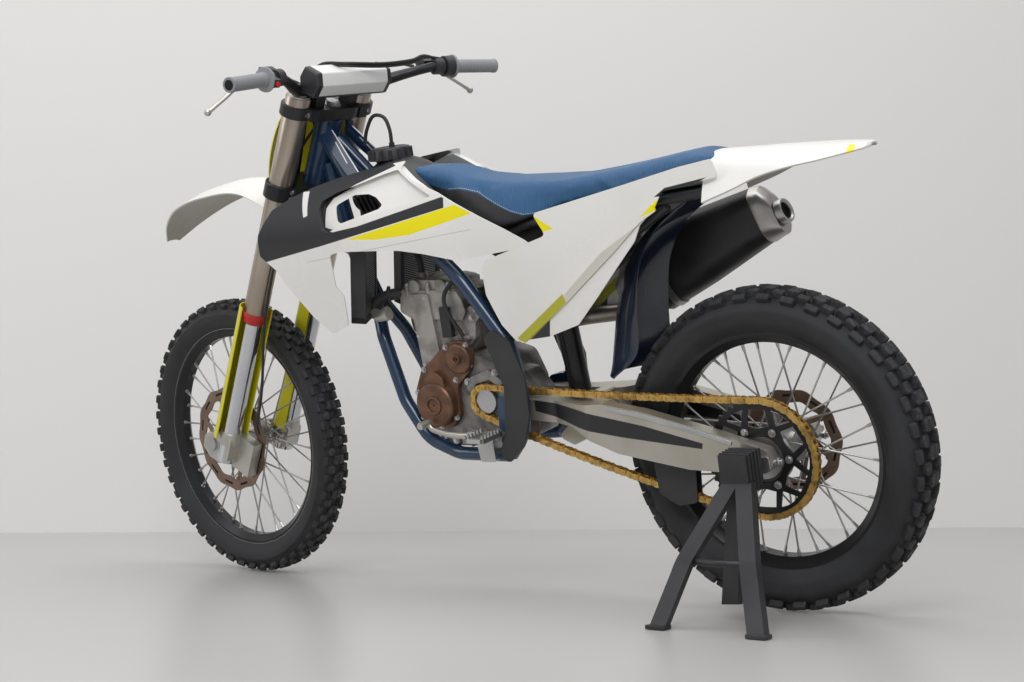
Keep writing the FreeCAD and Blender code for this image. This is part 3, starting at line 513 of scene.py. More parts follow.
def driftGroup():
    # mixes two colours by a broad noise, and gives a fine noise as height
    group = bpy.data.node_groups.new("surfaceDrift", "ShaderNodeTree")
    for name, kind, value in (("Colour", "Color", (0.8, 0.8, 0.8, 1)), ("Worn Colour", "Color", (0.7, 0.7, 0.7, 1)),
                              ("Drift Scale", "Float", 6.0), ("Grain Scale", "Float", 900.0),
                              ("Low Rough", "Float", 0.3), ("High Rough", "Float", 0.5)):
        socket = group.interface.new_socket(name=name, in_out="INPUT", socket_type="NodeSocket" + kind)
        socket.default_value = value
    for name, kind in (("Colour", "Color"), ("Roughness", "Float"), ("Height", "Float")):
        group.interface.new_socket(name=name, in_out="OUTPUT", socket_type="NodeSocket" + kind)
    source = group.nodes.new("NodeGroupInput").outputs
    sink = group.nodes.new("NodeGroupOutput").inputs
    coords = addNode(group, "TexCoord").outputs["Object"]
    broad = addNode(group, "TexNoise", {"Vector": coords, "Scale": source["Drift Scale"], "Detail": 5}).outputs["Fac"]
    fine = addNode(group, "TexNoise", {"Vector": coords, "Scale": source["Grain Scale"], "Detail": 2}).outputs["Fac"]
    curve = addNode(group, "MapRange", {"Value": broad, "From Min": 0.42, "From Max": 0.72})
    mix = group.nodes.new("ShaderNodeMix")
    mix.data_type = "RGBA"
    rough = addNode(group, "MapRange", {"Value": broad, "From Min": 0.3, "From Max": 0.7,
                                        "To Min": source["Low Rough"], "To Max": source["High Rough"]})
    link = group.links.new
    link(curve.outputs["Result"], mix.inputs["Factor"])
    link(source["Colour"], mix.inputs["A"])
    link(source["Worn Colour"], mix.inputs["B"])
    link(mix.outputs["Result"], sink["Colour"])
    link(rough.outputs["Result"], sink["Roughness"])
    link(fine, sink["Height"])
    return group


drift = driftGroup()


def finish(name, colour, worn, metallic=0.0, rough=(0.3, 0.5), driftScale=8.0, grainScale=700.0, grain=0.02,
           coat=0.0):
    # one material: broad colour drift towards a worn tone, roughness that follows it, and a fine grain as bump
    material, tree, shader = newMaterial(name)
    group = tree.nodes.new("ShaderNodeGroup")
    group.node_tree = drift
    for socket, value in (("Colour", (*colour, 1)), ("Worn Colour", (*worn, 1)), ("Drift Scale", driftScale),
                          ("Grain Scale", grainScale), ("Low Rough", rough[0]), ("High Rough", rough[1])):
        group.inputs[socket].default_value = value
    bump = addNode(tree, "Bump", {"Strength": grain, "Distance": 0.001, "Height": group.outputs["Height"]})
    for output, socket in ((group.outputs["Colour"], "Base Color"), (group.outputs["Roughness"], "Roughness"),
                           (bump.outputs["Normal"], "Normal")):
        tree.links.new(output, shader.inputs[socket])
    shader.inputs["Metallic"].default_value = metallic
    shader.inputs["Coat Weight"].default_value = coat
    return material


finishes = {
    "white_plastic": finish("whitePlastic", (0.80, 0.79, 0.76), (0.74, 0.73, 0.69), rough=(0.22, 0.34), driftScale=3,
                            grain=0.01, coat=0.15),
    "black_plastic": finish("blackPlastic", (0.018, 0.018, 0.02), (0.035, 0.035, 0.037), rough=(0.38, 0.58),
                            grainScale=1400, grain=0.08),
    "dark_gloss": finish("darkGlossPlastic", (0.008, 0.013, 0.028), (0.012, 0.02, 0.04), rough=(0.14, 0.26),
                         driftScale=5, grain=0.01, coat=0.3),
    "yellow_plastic": finish("yellowPlastic", (0.80, 0.72, 0.005), (0.72, 0.64, 0.01), rough=(0.25, 0.4), grain=0.02,
                             coat=0.1),
    "frame_blue": finish("framePaint", (0.008, 0.030, 0.075), (0.012, 0.038, 0.088), rough=(0.2, 0.34),
                         grainScale=500, grain=0.02, coat=0.35),
    "seat_cover": finish("seatCover", (0.02, 0.085, 0.20), (0.03, 0.10, 0.23), rough=(0.5, 0.65), grain=0.1),
    "alloy": finish("castAlloy", (0.55, 0.53, 0.48), (0.46, 0.44, 0.40), metallic=0.85, rough=(0.34, 0.5),
                    grainScale=900, grain=0.06),
    "engine_alloy": finish("engineAlloy", (0.40, 0.39, 0.37), (0.25, 0.24, 0.23), metallic=0.7, rough=(0.42, 0.62),
                           grainScale=600, grain=0.15),
    "black_alloy": finish("blackAlloy", (0.014, 0.014, 0.016), (0.03, 0.03, 0.032), metallic=0.4, rough=(0.24, 0.4),
                          grain=0.02),
    "fork_brown": finish("forkTube", (0.50, 0.45, 0.39), (0.44, 0.39, 0.33), metallic=0.9, rough=(0.28, 0.38),
                         driftScale=4, grain=0.02),
    "chrome": finish("chromeTube", (0.66, 0.67, 0.70), (0.6, 0.61, 0.64), metallic=1.0, rough=(0.08, 0.16),
                     grain=0.0),
    "bronze": finish("bronzeCover", (0.155, 0.085, 0.055), (0.22, 0.13, 0.09), metallic=0.55, rough=(0.36, 0.55),
                     driftScale=14, grain=0.06),
    "disc_steel": finish("discSteel", (0.19, 0.13, 0.10), (0.28, 0.21, 0.16), metallic=0.75, rough=(0.32, 0.48),
                         driftScale=20, grain=0.03),
    "steel": finish("brightSteel", (0.52, 0.52, 0.52), (0.4, 0.4, 0.4), metallic=0.95, rough=(0.26, 0.4), grain=0.02),
    "chain_gold": finish("goldChain", (0.56, 0.37, 0.10), (0.36, 0.22, 0.06), metallic=0.85, rough=(0.3, 0.46),
                         driftScale=40, grain=0.03),
    "tyre_rubber": finish("tyreRubber", (0.016, 0.016, 0.018), (0.035, 0.036, 0.038), rough=(0.6, 0.85),
                          driftScale=12, grainScale=420, grain=0.25),
    "grip_rubber": finish("gripRubber", (0.235, 0.24, 0.25), (0.30, 0.30, 0.31), rough=(0.55, 0.7), grainScale=800,
                          grain=0.1),
    "exhaust_black": finish("exhaustBlack", (0.012, 0.012, 0.013), (0.03, 0.029, 0.028), rough=(0.34, 0.5),
                            driftScale=10, grainScale=900, grain=0.12),
    "exhaust_steel": finish("exhaustSteel", (0.40, 0.37, 0.34), (0.30, 0.26, 0.23), metallic=0.9, rough=(0.3, 0.45),
                            driftScale=10, grain=0.03),
    "radiator": finish("radiatorAlloy", (0.12, 0.12, 0.125), (0.2, 0.2, 0.2), metallic=0.7, rough=(0.4, 0.6),
                       grain=0.05),
    "hose_rubber": finish("hoseRubber", (0.014, 0.014, 0.015), (0.03, 0.03, 0.03), rough=(0.45, 0.65), grain=0.05),
}


# tyres

tyres = {
    "front": {"outer": 344.0, "half": 42.0, "lug": 12.0, "rimOuter": 272.0, "rimHalf": 24.0, "bead": 266.0,
              "rows": 48,
              # each knob row: side, half width, half length, tilt, radius at the tip, phase in rows
              "knobs": ((0.17, 6.0, 10.5, 4, -2.6, 0.0), (0.50, 6.2, 9.5, 16, -4.4, 0.5),
                        (0.84, 5.2, 9.5, 42, -12.5, 0.0))},
    "rear": {"outer": 342.0, "half": 53.0, "lug": 16.0, "rimOuter": 250.0, "rimHalf": 31.0, "bead": 241.0, "rows": 38,
             "knobs": ((0.17, 8.0, 13.0, 3, -2.6, 0.0), (0.50, 7.4, 12.0, 14, -4.6, 0.5),
                       (0.85, 6.8, 14.5, 42, -14.0, 0.0))},
}
floorGap = 0.0006  # metres


def casing(size):
    # the smooth carcass: from bead to bead over the crown, with a raised line at the bead and on the side wall
    crown = size["outer"] - size["lug"]
    tall = crown - size["bead"]
    half = size["half"]
    side = np.array([(size["rimHalf"] - 3.4, size["bead"]), (size["rimHalf"] + 1.5, size["rimOuter"] + 1.2),
                     (0.84 * half, size["bead"] + 0.34 * tall), (0.955 * half, size["bead"] + 0.62 * tall),
                     (0.87 * half, crown - 19), (0.62 * half, crown - 5.5), (0.30 * half, crown - 0.6)])
    path = smoothPath(np.vstack((side, side[::-1] * (-1, 1))), 61)
    ridge = size["rimOuter"] + np.array((7.0, 22.0, 24.5))
    push = sum(0.9 * np.exp(-((path[:, 1] - r) / 1.1) ** 2) for r in ridge) * (np.abs(path[:, 0]) > 0.45 * half)
    path[:, 0] += np.sign(path[:, 0]) * push
    return path


def knobBlocks(size, side, width, length, tilt, tip, phase):
    # all knobs of one ring at once: a tapered block with a rounded plan, its foot sunk in the carcass
    rows = size["rows"]
    turn = 2 * math.pi * (np.arange(rows) + phase) / rows
    radial = np.stack((np.cos(turn), np.zeros(rows), np.sin(turn)), axis=-1)
    along = np.stack((-np.sin(turn), np.zeros(rows), np.cos(turn)), axis=-1)
    lean = math.radians(tilt) * np.sign(side)
    out = radial * math.cos(lean) + np.array((0, 1, 0)) * math.sin(lean)
    over = -radial * math.sin(lean) + np.array((0, 1, 0)) * math.cos(lean)
    top = radial * (size["outer"] + tip) + np.array((0, side * size["half"], 0))
    deep = size["lug"] + (7 if abs(side) > 0.7 else 4)
    # plan corners, each cut once; rings are foot, waist, shoulder and a smaller top
    plan = np.array([(1, 0.72), (0.8, 1), (-0.8, 1), (-1, 0.72), (-1, -0.72), (-0.8, -1), (0.8, -1), (1, -0.72)])
    rings = []
    for drop, grow in ((deep, 1.16), (0.45 * deep, 1.05), (1.3, 1.0), (0.0, 0.86)):
        u, v = plan[:, 0] * length * grow, plan[:, 1] * width * grow
        ring = top[:, None] - out[:, None] * drop + along[:, None] * u[None, :, None]
        rings.append(ring + over[:, None] * v[None, :, None])
    points = np.stack(rings, axis=1).reshape(-1, 3)
    return points, repeatFaces(tubeFaces(4, 8), 32, rows)


def addTyre(end, matrix, centre, material):
    size = tyres[end]
    parts = [turnedMesh(casing(size), (0, 0, 0), 160)]
    for side, *knob in size["knobs"]:
        parts += [knobBlocks(size, side, *knob), knobBlocks(size, -side, *knob)]
    points, faces = pile(parts)
    thing = addPiece(end + "Tyre", [(points + centre, faces)], matrix, material, end + "_wheel", angle=28)
    # the knobs that stand on the floor are pressed flat
    places = meshPlaces(thing.data)
    places[:, 2] = np.maximum(places[:, 2], floorGap)
    thing.data.vertices.foreach_set("co", places.ravel())
    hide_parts(end + "_tyre")


def rubberMaterial(name, group, centre, outer):
    # dark side walls, with the knobs scuffed paler towards their tips
    material = finish(name, (0.014, 0.014, 0.016), (0.03, 0.031, 0.033), rough=(0.55, 0.8), driftScale=14,
                      grainScale=420, grain=0.3)
    radius = radiusFrom(material, placeIn(material, group), centre)
    coords = addNode(material.node_tree, "TexCoord").outputs["Object"]
    noise = addNode(material.node_tree, "TexNoise", {"Vector": coords, "Scale": 120, "Detail": 4}).outputs["Fac"]
    tips = fade(material, radius, outer - 20, outer - 1)
    scuff = reckon(material, "MULTIPLY", tips, fade(material, noise, 0.42, 0.66, 0.0, 0.75))
    paint(material, scuff, colour=(0.085, 0.085, 0.088), rough=0.85)
    return material


rearCentre = np.array(stance["axle"])
frontCentre = np.array(stance["frontAxle"])
wheels = {"front": (frontToRow, frontCentre, frontPlace), "rear": (bikeToRow, rearCentre, bikePlace)}
for end in ("rear", "front"):
    matrix, centre, group = wheels[end]
    addTyre(end, matrix, centre, rubberMaterial(end + "Rubber", group, tuple(centre), tyres[end]["outer"]))
print("tyres made")


# brake discs, sprockets and chain

drive = {
    "pitch": 15.875, "y": 75.0, "rearTeeth": 48, "frontTeeth": 13, "front": (668.0, 457.0), "rear": (0.0, 341.0),
    "plateHeight": 7.2, "plateThick": 1.9, "innerHalf": 4.0, "sag": (5.0, 13.0), "half": 2.8, "boltCircle": 62.0,
}
discs = {
    "front": {"y": 52.0, "radius": 130.0, "waves": 12, "band": 30.0, "carrier": 54.0, "thick": 3.0},
    "rear": {"y": -68.0, "radius": 110.0, "waves": 10, "band": 28.0, "carrier": 36.0, "thick": 3.0},
}
waveDepth = 2.4
arms = [math.radians(60 * index) for index in range(6)]  # where the arms of a disc or sprocket start


def ringMesh(centre, outer, inner, low, high):
    # a flat ring whose two edges are given as radius over the turn
    count = len(outer)
    turn = fullTurn(count)
    rows = []
    for radius, y in ((outer, low), (outer, high), (inner, high), (inner, low)):
        rows.append(np.stack((np.cos(turn) * radius, np.full(count, y), np.sin(turn) * radius), axis=-1))
    points = np.stack(rows, axis=1).reshape(-1, 3) + (centre[0], 0, centre[2])
    return points, gridFaces(count, 4, True, True)


def strutMesh(centre, startTurn, startRadius, endTurn, endRadius, width, endWidth, low, high):
    start = np.array((math.cos(startTurn), math.sin(startTurn))) * startRadius
    end = np.array((math.cos(endTurn), math.sin(endTurn))) * endRadius
    along = (end - start) / np.linalg.norm(end - start)
    side = np.array((-along[1], along[0]))
    outline = [start + side * width, start - side * width, end - side * endWidth, end + side * endWidth]
    return slabMesh([tuple(point + (centre[0], centre[2])) for point in outline], low, high)


def discParts(size, centre):
    # a wave ring on swept arms; its slots come from the material
    turn = fullTurn(size["waves"] * 20)
    low, high = size["y"] - size["thick"] / 2, size["y"] + size["thick"] / 2
    wave = waveDepth * np.cos(size["waves"] * turn)
    parts = [ringMesh(centre, size["radius"] - waveDepth + wave, size["radius"] - size["band"] + wave, low, high)]
    even = np.full(72, 1.0)
    parts.append(ringMesh(centre, even * (size["carrier"] + 9), even * (size["carrier"] - 2), low, high))
    inner = size["radius"] - size["band"]
    for turn in arms:
        sweep = turn + math.radians(26)
        parts.append(strutMesh(centre, turn, size["carrier"] + 5, turn + math.radians(24), inner + 4, 8, 6, low + 0.1,
                               high - 0.1))
        button = np.array(centre) + (inner * math.cos(sweep), 0, inner * math.sin(sweep))
        parts.append(rodMesh(button + (0, low - 1.2, 0), button + (0, high + 1.2, 0), 5.5, sides=12))
    return parts


def discMaterial(name, group, centre, size):
    # browned steel with dark slots painted on it, not cut, and a dark carrier
    material = finish(name, (0.21, 0.135, 0.10), (0.30, 0.22, 0.17), metallic=0.8, rough=(0.3, 0.46), driftScale=18,
                      grain=0.03)
    place = placeIn(material, group)
    radius = radiusFrom(material, place, centre)
    away = addNode(material.node_tree, "VectorMath", {0: place, 1: centre}, "SUBTRACT").outputs["Vector"]
    turn = reckon(material, "ARCTAN2", axisOf(material, away, "Z"), axisOf(material, away, "X"))
    part = reckon(material, "FRACT", reckon(material, "MULTIPLY", turn, size["waves"] / (2 * math.pi)))
    slot = reckon(material, "ABSOLUTE", reckon(material, "SUBTRACT", part, 0.5))
    middle = reckon(material, "ABSOLUTE", reckon(material, "SUBTRACT", radius, size["radius"] - 0.52 * size["band"]))
    hole = reckon(material, "MULTIPLY", fade(material, slot, 0.25, 0.23), fade(material, middle, 3.2, 2.6))
    paint(material, hole, colour=(0.004, 0.004, 0.004), rough=0.9, metallic=0.0)
    paint(material, fade(material, radius, size["carrier"] + 9.4, size["carrier"] + 9.0), colour=(0.03, 0.03, 0.032),
          rough=0.35, metallic=0.6)
    return material


def toothRadius(count, teeth, pitchRadius, depth):
    # tooth tips rounded, gaps hollow: a flattened wave
    wave = np.cos(teeth * fullTurn(count))
    return pitchRadius + depth * np.sign(wave) * np.abs(wave) ** 0.8


def sprocketParts():
    teeth = drive["rearTeeth"]
    radius = drive["pitch"] / (2 * math.sin(math.pi / teeth))
    low, high = drive["y"] - drive["half"], drive["y"] + drive["half"]
    count = teeth * 12
    scallop = radius - 17 + 2.2 * np.cos(6 * fullTurn(count))
    parts = [ringMesh(rearCentre, toothRadius(count, teeth, radius - 0.4, 3.4), scallop, low + 0.4, high - 0.4)]
    hub = 69 + 6 * np.cos(6 * fullTurn(72))
    parts.append(ringMesh(rearCentre, hub, np.full(72, 50.0), low, high))
    for turn in arms:
        for sweep in (-1, 1):
            parts.append(strutMesh(rearCentre, turn, 66, turn + sweep * math.radians(17), radius - 13, 7.0, 5.0,
                                   low + 0.5, high - 0.5))
    return parts


def sprocketBolts():
    parts = []
    for turn in arms:
        circle = drive["boltCircle"]
        place = rearCentre + (circle * math.cos(turn), drive["y"] + drive["half"], circle * math.sin(turn))
        parts += [rodMesh(place, place + (0, 1.6, 0), 8.5, sides=20),
                  rodMesh(place + (0, 1.6, 0), place + (0, 6.5, 0), 6.0, 5.4, sides=6)]
    return parts


def chainPath():
    # round both sprockets, with the free runs hanging a little; one point a pitch
    back, ahead = np.array(drive["rear"]), np.array(drive["front"])
    big = drive["pitch"] / (2 * math.sin(math.pi / drive["rearTeeth"]))
    small = drive["pitch"] / (2 * math.sin(math.pi / drive["frontTeeth"]))
    line = ahead - back
    slope = math.atan2(line[1], line[0])
    spread = math.acos((big - small) / np.hypot(*line))
    top, low = slope + spread, slope - spread

    def arc(centre, radius, start, end, count):
        turn = np.linspace(start, end, count)
        return centre + radius * np.stack((np.cos(turn), np.sin(turn)), axis=-1)

    def run(start, end, sag):
        share = np.linspace(0, 1, 90)[1:-1, None]
        return start + (end - start) * share - np.array((0, 1)) * sag * 4 * share * (1 - share)

    around = arc(back, big, top, low + 2 * math.pi, 240)
    front = arc(ahead, small, low, top, 80)
    lower = run(around[-1], front[0], drive["sag"][1])
    upper = run(front[-1], around[0], drive["sag"][0])
    loop = np.vstack((around, lower, front, upper))
    step = np.hypot(*np.diff(np.vstack((loop, loop[:1])), axis=0).T)
    length = np.concatenate(([0], np.cumsum(step)))
    count = int(round(length[-1] / drive["pitch"] / 2)) * 2
    at = np.linspace(0, length[-1], count, endpoint=False)
    closed = np.vstack((loop, loop[:1]))
    return np.stack((np.interp(at, length, closed[:, 0]), np.interp(at, length, closed[:, 1])), axis=-1)


def chainParts():
    # waisted plates, inner and outer in turn, with rollers and pin heads
    path = chainPath()
    count = len(path)
    after = np.roll(path, -1, axis=0)
    along = after - path
    size = np.hypot(along[:, 0], along[:, 1])[:, None]
    along, middle = along / size, (path + after) / 2
    over = np.stack((-along[:, 1], along[:, 0]), axis=-1)
    turn = fullTurn(20)
    half = drive["plateHeight"]
    u = np.cos(turn) * (drive["pitch"] / 2 + half) * (1 - 0.04 * np.cos(2 * turn) ** 2)
    v = np.sin(turn) * half * (1.12 - 0.34 * np.exp(-(u / 3.6) ** 2))
    outline = middle[:, None] + along[:, None] * u[None, :, None] + over[:, None] * v[None, :, None]
    odd = (np.arange(count) % 2)[:, None]
    parts = []
    for side in (-1, 1):
        near = drive["y"] + side * (drive["innerHalf"] + odd * (drive["plateThick"] + 0.25))
        rows = [np.dstack((outline[:, :, 0], np.broadcast_to(y, outline.shape[:2]), outline[:, :, 1]))
                for y in (near, near + side * drive["plateThick"])]
        points = np.stack(rows, axis=1).reshape(-1, 3)
        parts.append((points, repeatFaces(tubeFaces(2, 20), 40, count)))
    around = fullTurn(12)
    for radius, reach in ((4.9, drive["innerHalf"] - 0.1), (2.7, drive["innerHalf"] + 2 * drive["plateThick"] + 1.3)):
        x = path[:, None, 0] + radius * np.cos(around)
        z = path[:, None, 1] + radius * np.sin(around)
        rows = [np.dstack((x, np.full(x.shape, drive["y"] + side * reach), z)) for side in (-1, 1)]
        points = np.stack(rows, axis=1).reshape(-1, 3)
        parts.append((points, repeatFaces(tubeFaces(2, 12), 24, count)))
    return parts


for end, (matrix, centre, group) in wheels.items():
    disc = addPiece(end + "Disc", discParts(discs[end], centre), matrix,
                    discMaterial(end + "DiscSteel", group, tuple(centre), discs[end]), end + "_wheel")
    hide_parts(end + "_disc")
sprocket = addPiece("rearSprocket", sprocketParts(), bikeToRow, finishes["black_alloy"], "rear_wheel")
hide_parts("rear_sprocket")
addPiece("sprocketBolts", sprocketBolts(), bikeToRow, finishes["steel"], "rear_wheel")
chainMaterial = finish("chainGold", (0.62, 0.40, 0.12), (0.30, 0.19, 0.07), metallic=0.85, rough=(0.26, 0.44),
                       driftScale=60, grain=0.03)
chain = addPiece("chainLinks", chainParts(), bikeToRow, chainMaterial, "chassis", angle=40)
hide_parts("chain")
print("discs, sprocket and chain made")


# rims: black hoops with a painted highlight line along the lip, bright spokes, nipples and hubs

def rimMaterial(name, group, centre, inner, outer):
    material = finish(name, (0.46, 0.455, 0.44), (0.36, 0.355, 0.34), metallic=0.9, rough=(0.26, 0.42), driftScale=10,
                      grain=0.03)
    radius = radiusFrom(material, placeIn(material, group), centre)
    hoop = fade(material, radius, inner - 1.2, inner - 0.6)
    paint(material, hoop, colour=(0.012, 0.012, 0.014), rough=0.3, metallic=0.35)
    # painted highlight: a thin pale ring along the rim's outer lip, where its edge catches the light
    line = reckon(material, "MULTIPLY", fade(material, radius, outer - 1.7, outer - 1.4),
                  fade(material, radius, outer + 0.2, outer - 0.1))
    paint(material, line, colour=(0.55, 0.55, 0.54), rough=0.4, metallic=0.0)
    return material


def nippleParts(centre, inner, hubRadius, hubHalf, count=36):
    # a hex nipple where each spoke meets the rim, on the spoke's own line
    parts = []
    for index in range(count):
        side = 1 if index % 2 == 0 else -1
        lead = 1 if (index // 2) % 2 == 0 else -1
        rimTurn = 2 * math.pi * (index + 0.5) / count
        hubTurn = rimTurn + lead * math.radians(58)
        start = np.array(centre) + (hubRadius * math.cos(hubTurn), side * hubHalf, hubRadius * math.sin(hubTurn))
        end = np.array(centre) + ((inner + 3) * math.cos(rimTurn), side * 5, (inner + 3) * math.sin(rimTurn))
        line = (end - start) / np.linalg.norm(end - start)
        parts += [rodMesh(end - line * 18, end - line * 3, 3.1, 3.7, sides=6),
                  rodMesh(end - line * 5, end, 4.6, sides=12)]
    return parts


# the rim's inner and outer edge, and the hub's radius and half width where the spokes start
rims = {"front": (250.0, 272.0, 31.0, 41.0), "rear": (226.0, 250.0, 40.0, 47.0)}
for end, (inner, outer, hub, half) in rims.items():
    matrix, centre, group = wheels[end]
    rimFinish = rimMaterial(end + "Rim", group, tuple(centre), inner, outer)
    for place in nodes[end + "_rim"].material_slots:
        place.material = rimFinish
    addPiece(end + "Nipples", nippleParts(centre, inner, hub, half), matrix, finishes["steel"], end + "_wheel")
dressed = {"front_rim", "rear_rim"}
print("rims dressed")


# panels: a curved sheet cut to an outline

decalYellow, decalBlack = (0.85, 0.74, 0.0), (0.02, 0.02, 0.022)


def panelWhite(name, rough, coat):
    return finish(name, (0.78, 0.77, 0.735), (0.72, 0.705, 0.66), rough=rough, driftScale=3, grain=0.01, coat=coat)


def rounded(outline, radius, steps=5):
    # each corner of a flat outline turned into an arc that both sides touch
    points = np.asarray(outline, dtype=float)
    result = []
    for before, here, after in zip(np.roll(points, 1, axis=0), points, np.roll(points, -1, axis=0)):
        one, two = before - here, after - here
        sizes = np.linalg.norm(one), np.linalg.norm(two)
        one, two = one / sizes[0], two / sizes[1]
        bend = math.acos(max(-1.0, min(1.0, float(one.dot(two)))))
        reach = min(radius / max(math.tan(bend / 2), 0.05), 0.45 * min(sizes))
        t = np.linspace(0, 1, steps)[:, None]
        result.append((1 - t) ** 2 * (here + one * reach) + 2 * t * (1 - t) * here + t ** 2 * (here + two * reach))
    return np.concatenate(result)


def sheetMesh(outline, reach, outer, inner, step=9.0):
    # the sheet between two offsets of a side surface y = reach(x, z), wider than its outline
    low, high = outline.min(axis=0) - 6, outline.max(axis=0) + 6
    xs = np.linspace(low[0], high[0], int((high[0] - low[0]) / step) + 2)
    zs = np.linspace(low[1], high[1], int((high[1] - low[1]) / step) + 2)
    x, z = np.meshgrid(xs, zs, indexing="ij")
    y = reach(x, z)
    points = np.concatenate([np.stack((x, y + shift, z), axis=-1).reshape(-1, 3) for shift in (outer, inner)])
    return points, shellFaces(*x.shape)


def combine(first, second, operation):
    # a boolean of two solids, applied; the second one goes away
    cut = first.modifiers.new("cut", "BOOLEAN")
    cut.operation = operation
    cut.solver = "EXACT"
    cut.object = second
    bpy.context.view_layer.update()
    applied(first)
    bpy.data.objects.remove(second)
    return first


def panelSolid(name, outline, reach, outer, inner, bend):
    edge = rounded(outline, bend)
    sheet = rawObject(name, sheetMesh(edge, reach, outer, inner))
    return combine(sheet, rawObject(name + "Edge", slabMesh(edge, 20, 420)), "INTERSECT")


def meshParts(thing):
    # the points and faces of a scratch object, which goes away
    points = meshPlaces(thing.data)
    faces = [list(face.vertices) for face in thing.data.polygons]
    bpy.data.objects.remove(thing)
    return points, faces


shroud = {
    "thick": 2.6, "deep": 15.0,
    "outline": ((1109, 877), (1086, 927), (1049, 948), (1000, 966), (945, 979), (888, 989), (827, 996), (770, 1002),
                (781, 986), (740, 959), (677, 931), (630, 903), (575, 872), (521, 843), (453, 804), (565, 791),
                (639, 781), (723, 803), (777, 814), (810, 817), (923, 823), (944, 818), (945, 746), (931, 724),
                (937, 658), (981, 638), (1017, 681), (1063, 760), (1078, 794), (1110, 830)),
    "recess": ((969, 918), (965, 935), (935, 949), (824, 978), (788, 985), (750, 959), (705, 932), (692, 924),
               (750, 913), (876, 891), (943, 868), (957, 873)),
    "window": ((938, 922), (896, 940), (860, 939), (840, 931), (822, 914), (831, 906), (921, 883), (929, 887)),
}


def shroudReach(x, z):
    # widest at the front by the fork, falling away above and below a belt line
    forward = np.clip((x - 440.0) / 660.0, 0.0, 1.05)
    widest = 118 + 122 * forward ** 1.5
    height = z - (812 + 40 * forward)
    above = widest - 0.85 * (widest - 112) * (np.maximum(height, 0) / 140.0) ** 2
    below = widest - 26 * forward * (np.maximum(-height, 0) / 200.0) ** 1.6
    return np.where(height > 0, above, below)


def shroudParts():
    # the skin, a tray behind it, the pocket pressed into it and the window through its floor
    whole = panelSolid("shroudSkin", shroud["outline"], shroudReach, 0.0, -shroud["thick"], 9)
    middle = np.mean(shroud["recess"], axis=0)
    wide = middle + (np.array(shroud["recess"]) - middle) * (1.045, 1.09)
    whole = combine(whole, panelSolid("shroudTray", wide, shroudReach, -0.8, -shroud["deep"] - shroud["thick"], 9),
                    "UNION")
    whole = combine(whole, panelSolid("shroudPocket", shroud["recess"], shroudReach, 8.0, -shroud["deep"], 9),
                    "DIFFERENCE")
    whole = combine(whole, rawObject("shroudHole", slabMesh(rounded(shroud["window"], 9), 40, 420)), "DIFFERENCE")
    return meshParts(whole)


shroudWhite = panelWhite("shroudPlastic", (0.2, 0.34), 0.2)


def paintShroud(material):
    # black above one long line, apart from the recess and a short slanted gap; yellow under it
    place = placeIn(material, bikePlace)
    black = zone(material, place, ((1180, 802), (962, 840), (810, 869), (634, 903), (661, 918), (661, 1060),
                                   (1180, 1060)))
    white = zone(material, place, ((960, 918), (948, 937), (890, 963), (844, 978), (600, 1057), (600, 936),
                                   (675, 919), (873, 875), (930, 868), (957, 878)))
    gap = zone(material, place, ((1023, 958), (1007, 958), (994, 908), (1003, 905)))
    black = without(material, without(material, black, white), gap)
    paint(material, black, colour=(0.022, 0.022, 0.024), rough=0.34)
    paint(material, zone(material, place, ((899, 849), (634, 902.5), (595, 881), (747, 847), (828, 843))),
          colour=decalYellow, rough=0.3)
    # a faint seam across the lower half
    seam = zone(material, place, ((1000, 808), (1000, 806.6), (600, 846.6), (600, 848)))
    paint(material, reckon(material, "MULTIPLY", seam, 0.55), colour=(0.25, 0.24, 0.22))


paintShroud(shroudWhite)
skin = shroudParts()
for side, parts in (("left", [skin]), ("right", mirroredParts([skin]))):
    thing = addPiece("shroudPanel_" + side, parts, bikeToRow, shroudWhite, "chassis", angle=36)
    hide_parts("shroud_" + side)
print("shrouds made")


# side covers, each with a raised rib

cover = {
    "thick": 2.6,
    "outline": ((575, 779), (588, 762), (587, 704), (561, 637), (532, 599), (447, 608), (373, 631), (314, 690),
                (211, 800), (195, 832), (158, 864), (139, 896), (12, 917), (24, 953), (98, 942), (252, 910),
                (446, 871), (419, 824)),
    "rib": ((526, 608), (410, 689), (272, 797), (203, 854), (160, 875), (154, 859), (193, 838), (260, 781),
            (396, 675), (510, 596)),
}


def coverReach(x, z):
    back = np.clip((584 - x) / 550.0, 0.0, 1.0)
    return 130 - 30 * back - 10 * ((z - 780) / 180.0) ** 2


def coverParts():
    whole = panelSolid("coverSkin", cover["outline"], coverReach, 0.0, -cover["thick"], 9)
    whole = combine(whole, panelSolid("coverRib", cover["rib"], coverReach, 3.4, -1.2, 4), "UNION")
    return meshParts(whole)


coverWhite = panelWhite("coverPlastic", (0.22, 0.36), 0.15)


def paintCover(material):
    place = placeIn(material, bikePlace)
    paint(material, zone(material, place, ((518, 849), (438, 863), (398, 837), (473, 821))), colour=decalYellow,
          rough=0.3)
    grab = zone(material, place, ((196, 842), (157, 886), (131, 903), (27, 919), (8, 912), (30, 890), (99, 888)))
    paint(material, grab, colour=decalBlack, rough=0.4)
    paint(material, zone(material, place, ((190, 848), (156, 877), (99, 889), (127, 869))), colour=decalYellow,
          rough=0.3)
    paint(material, zone(material, place, ((535, 590), (434, 668), (449, 600), (470, 575))), colour=decalBlack,
          rough=0.45)
    rib = zone(material, place, ((528, 606), (396, 700), (390, 680), (508, 594)), soft=1.0)
    paint(material, rib, colour=(0.42, 0.40, 0.03), rough=0.4)
    upper = zone(material, place, ((394, 700), (272, 797), (203, 854), (160, 875), (152, 859), (193, 836), (260, 779),
                                   (390, 678)), soft=1.0)
    paint(material, reckon(material, "MULTIPLY", upper, 0.8), colour=(0.55, 0.52, 0.44), rough=0.4)


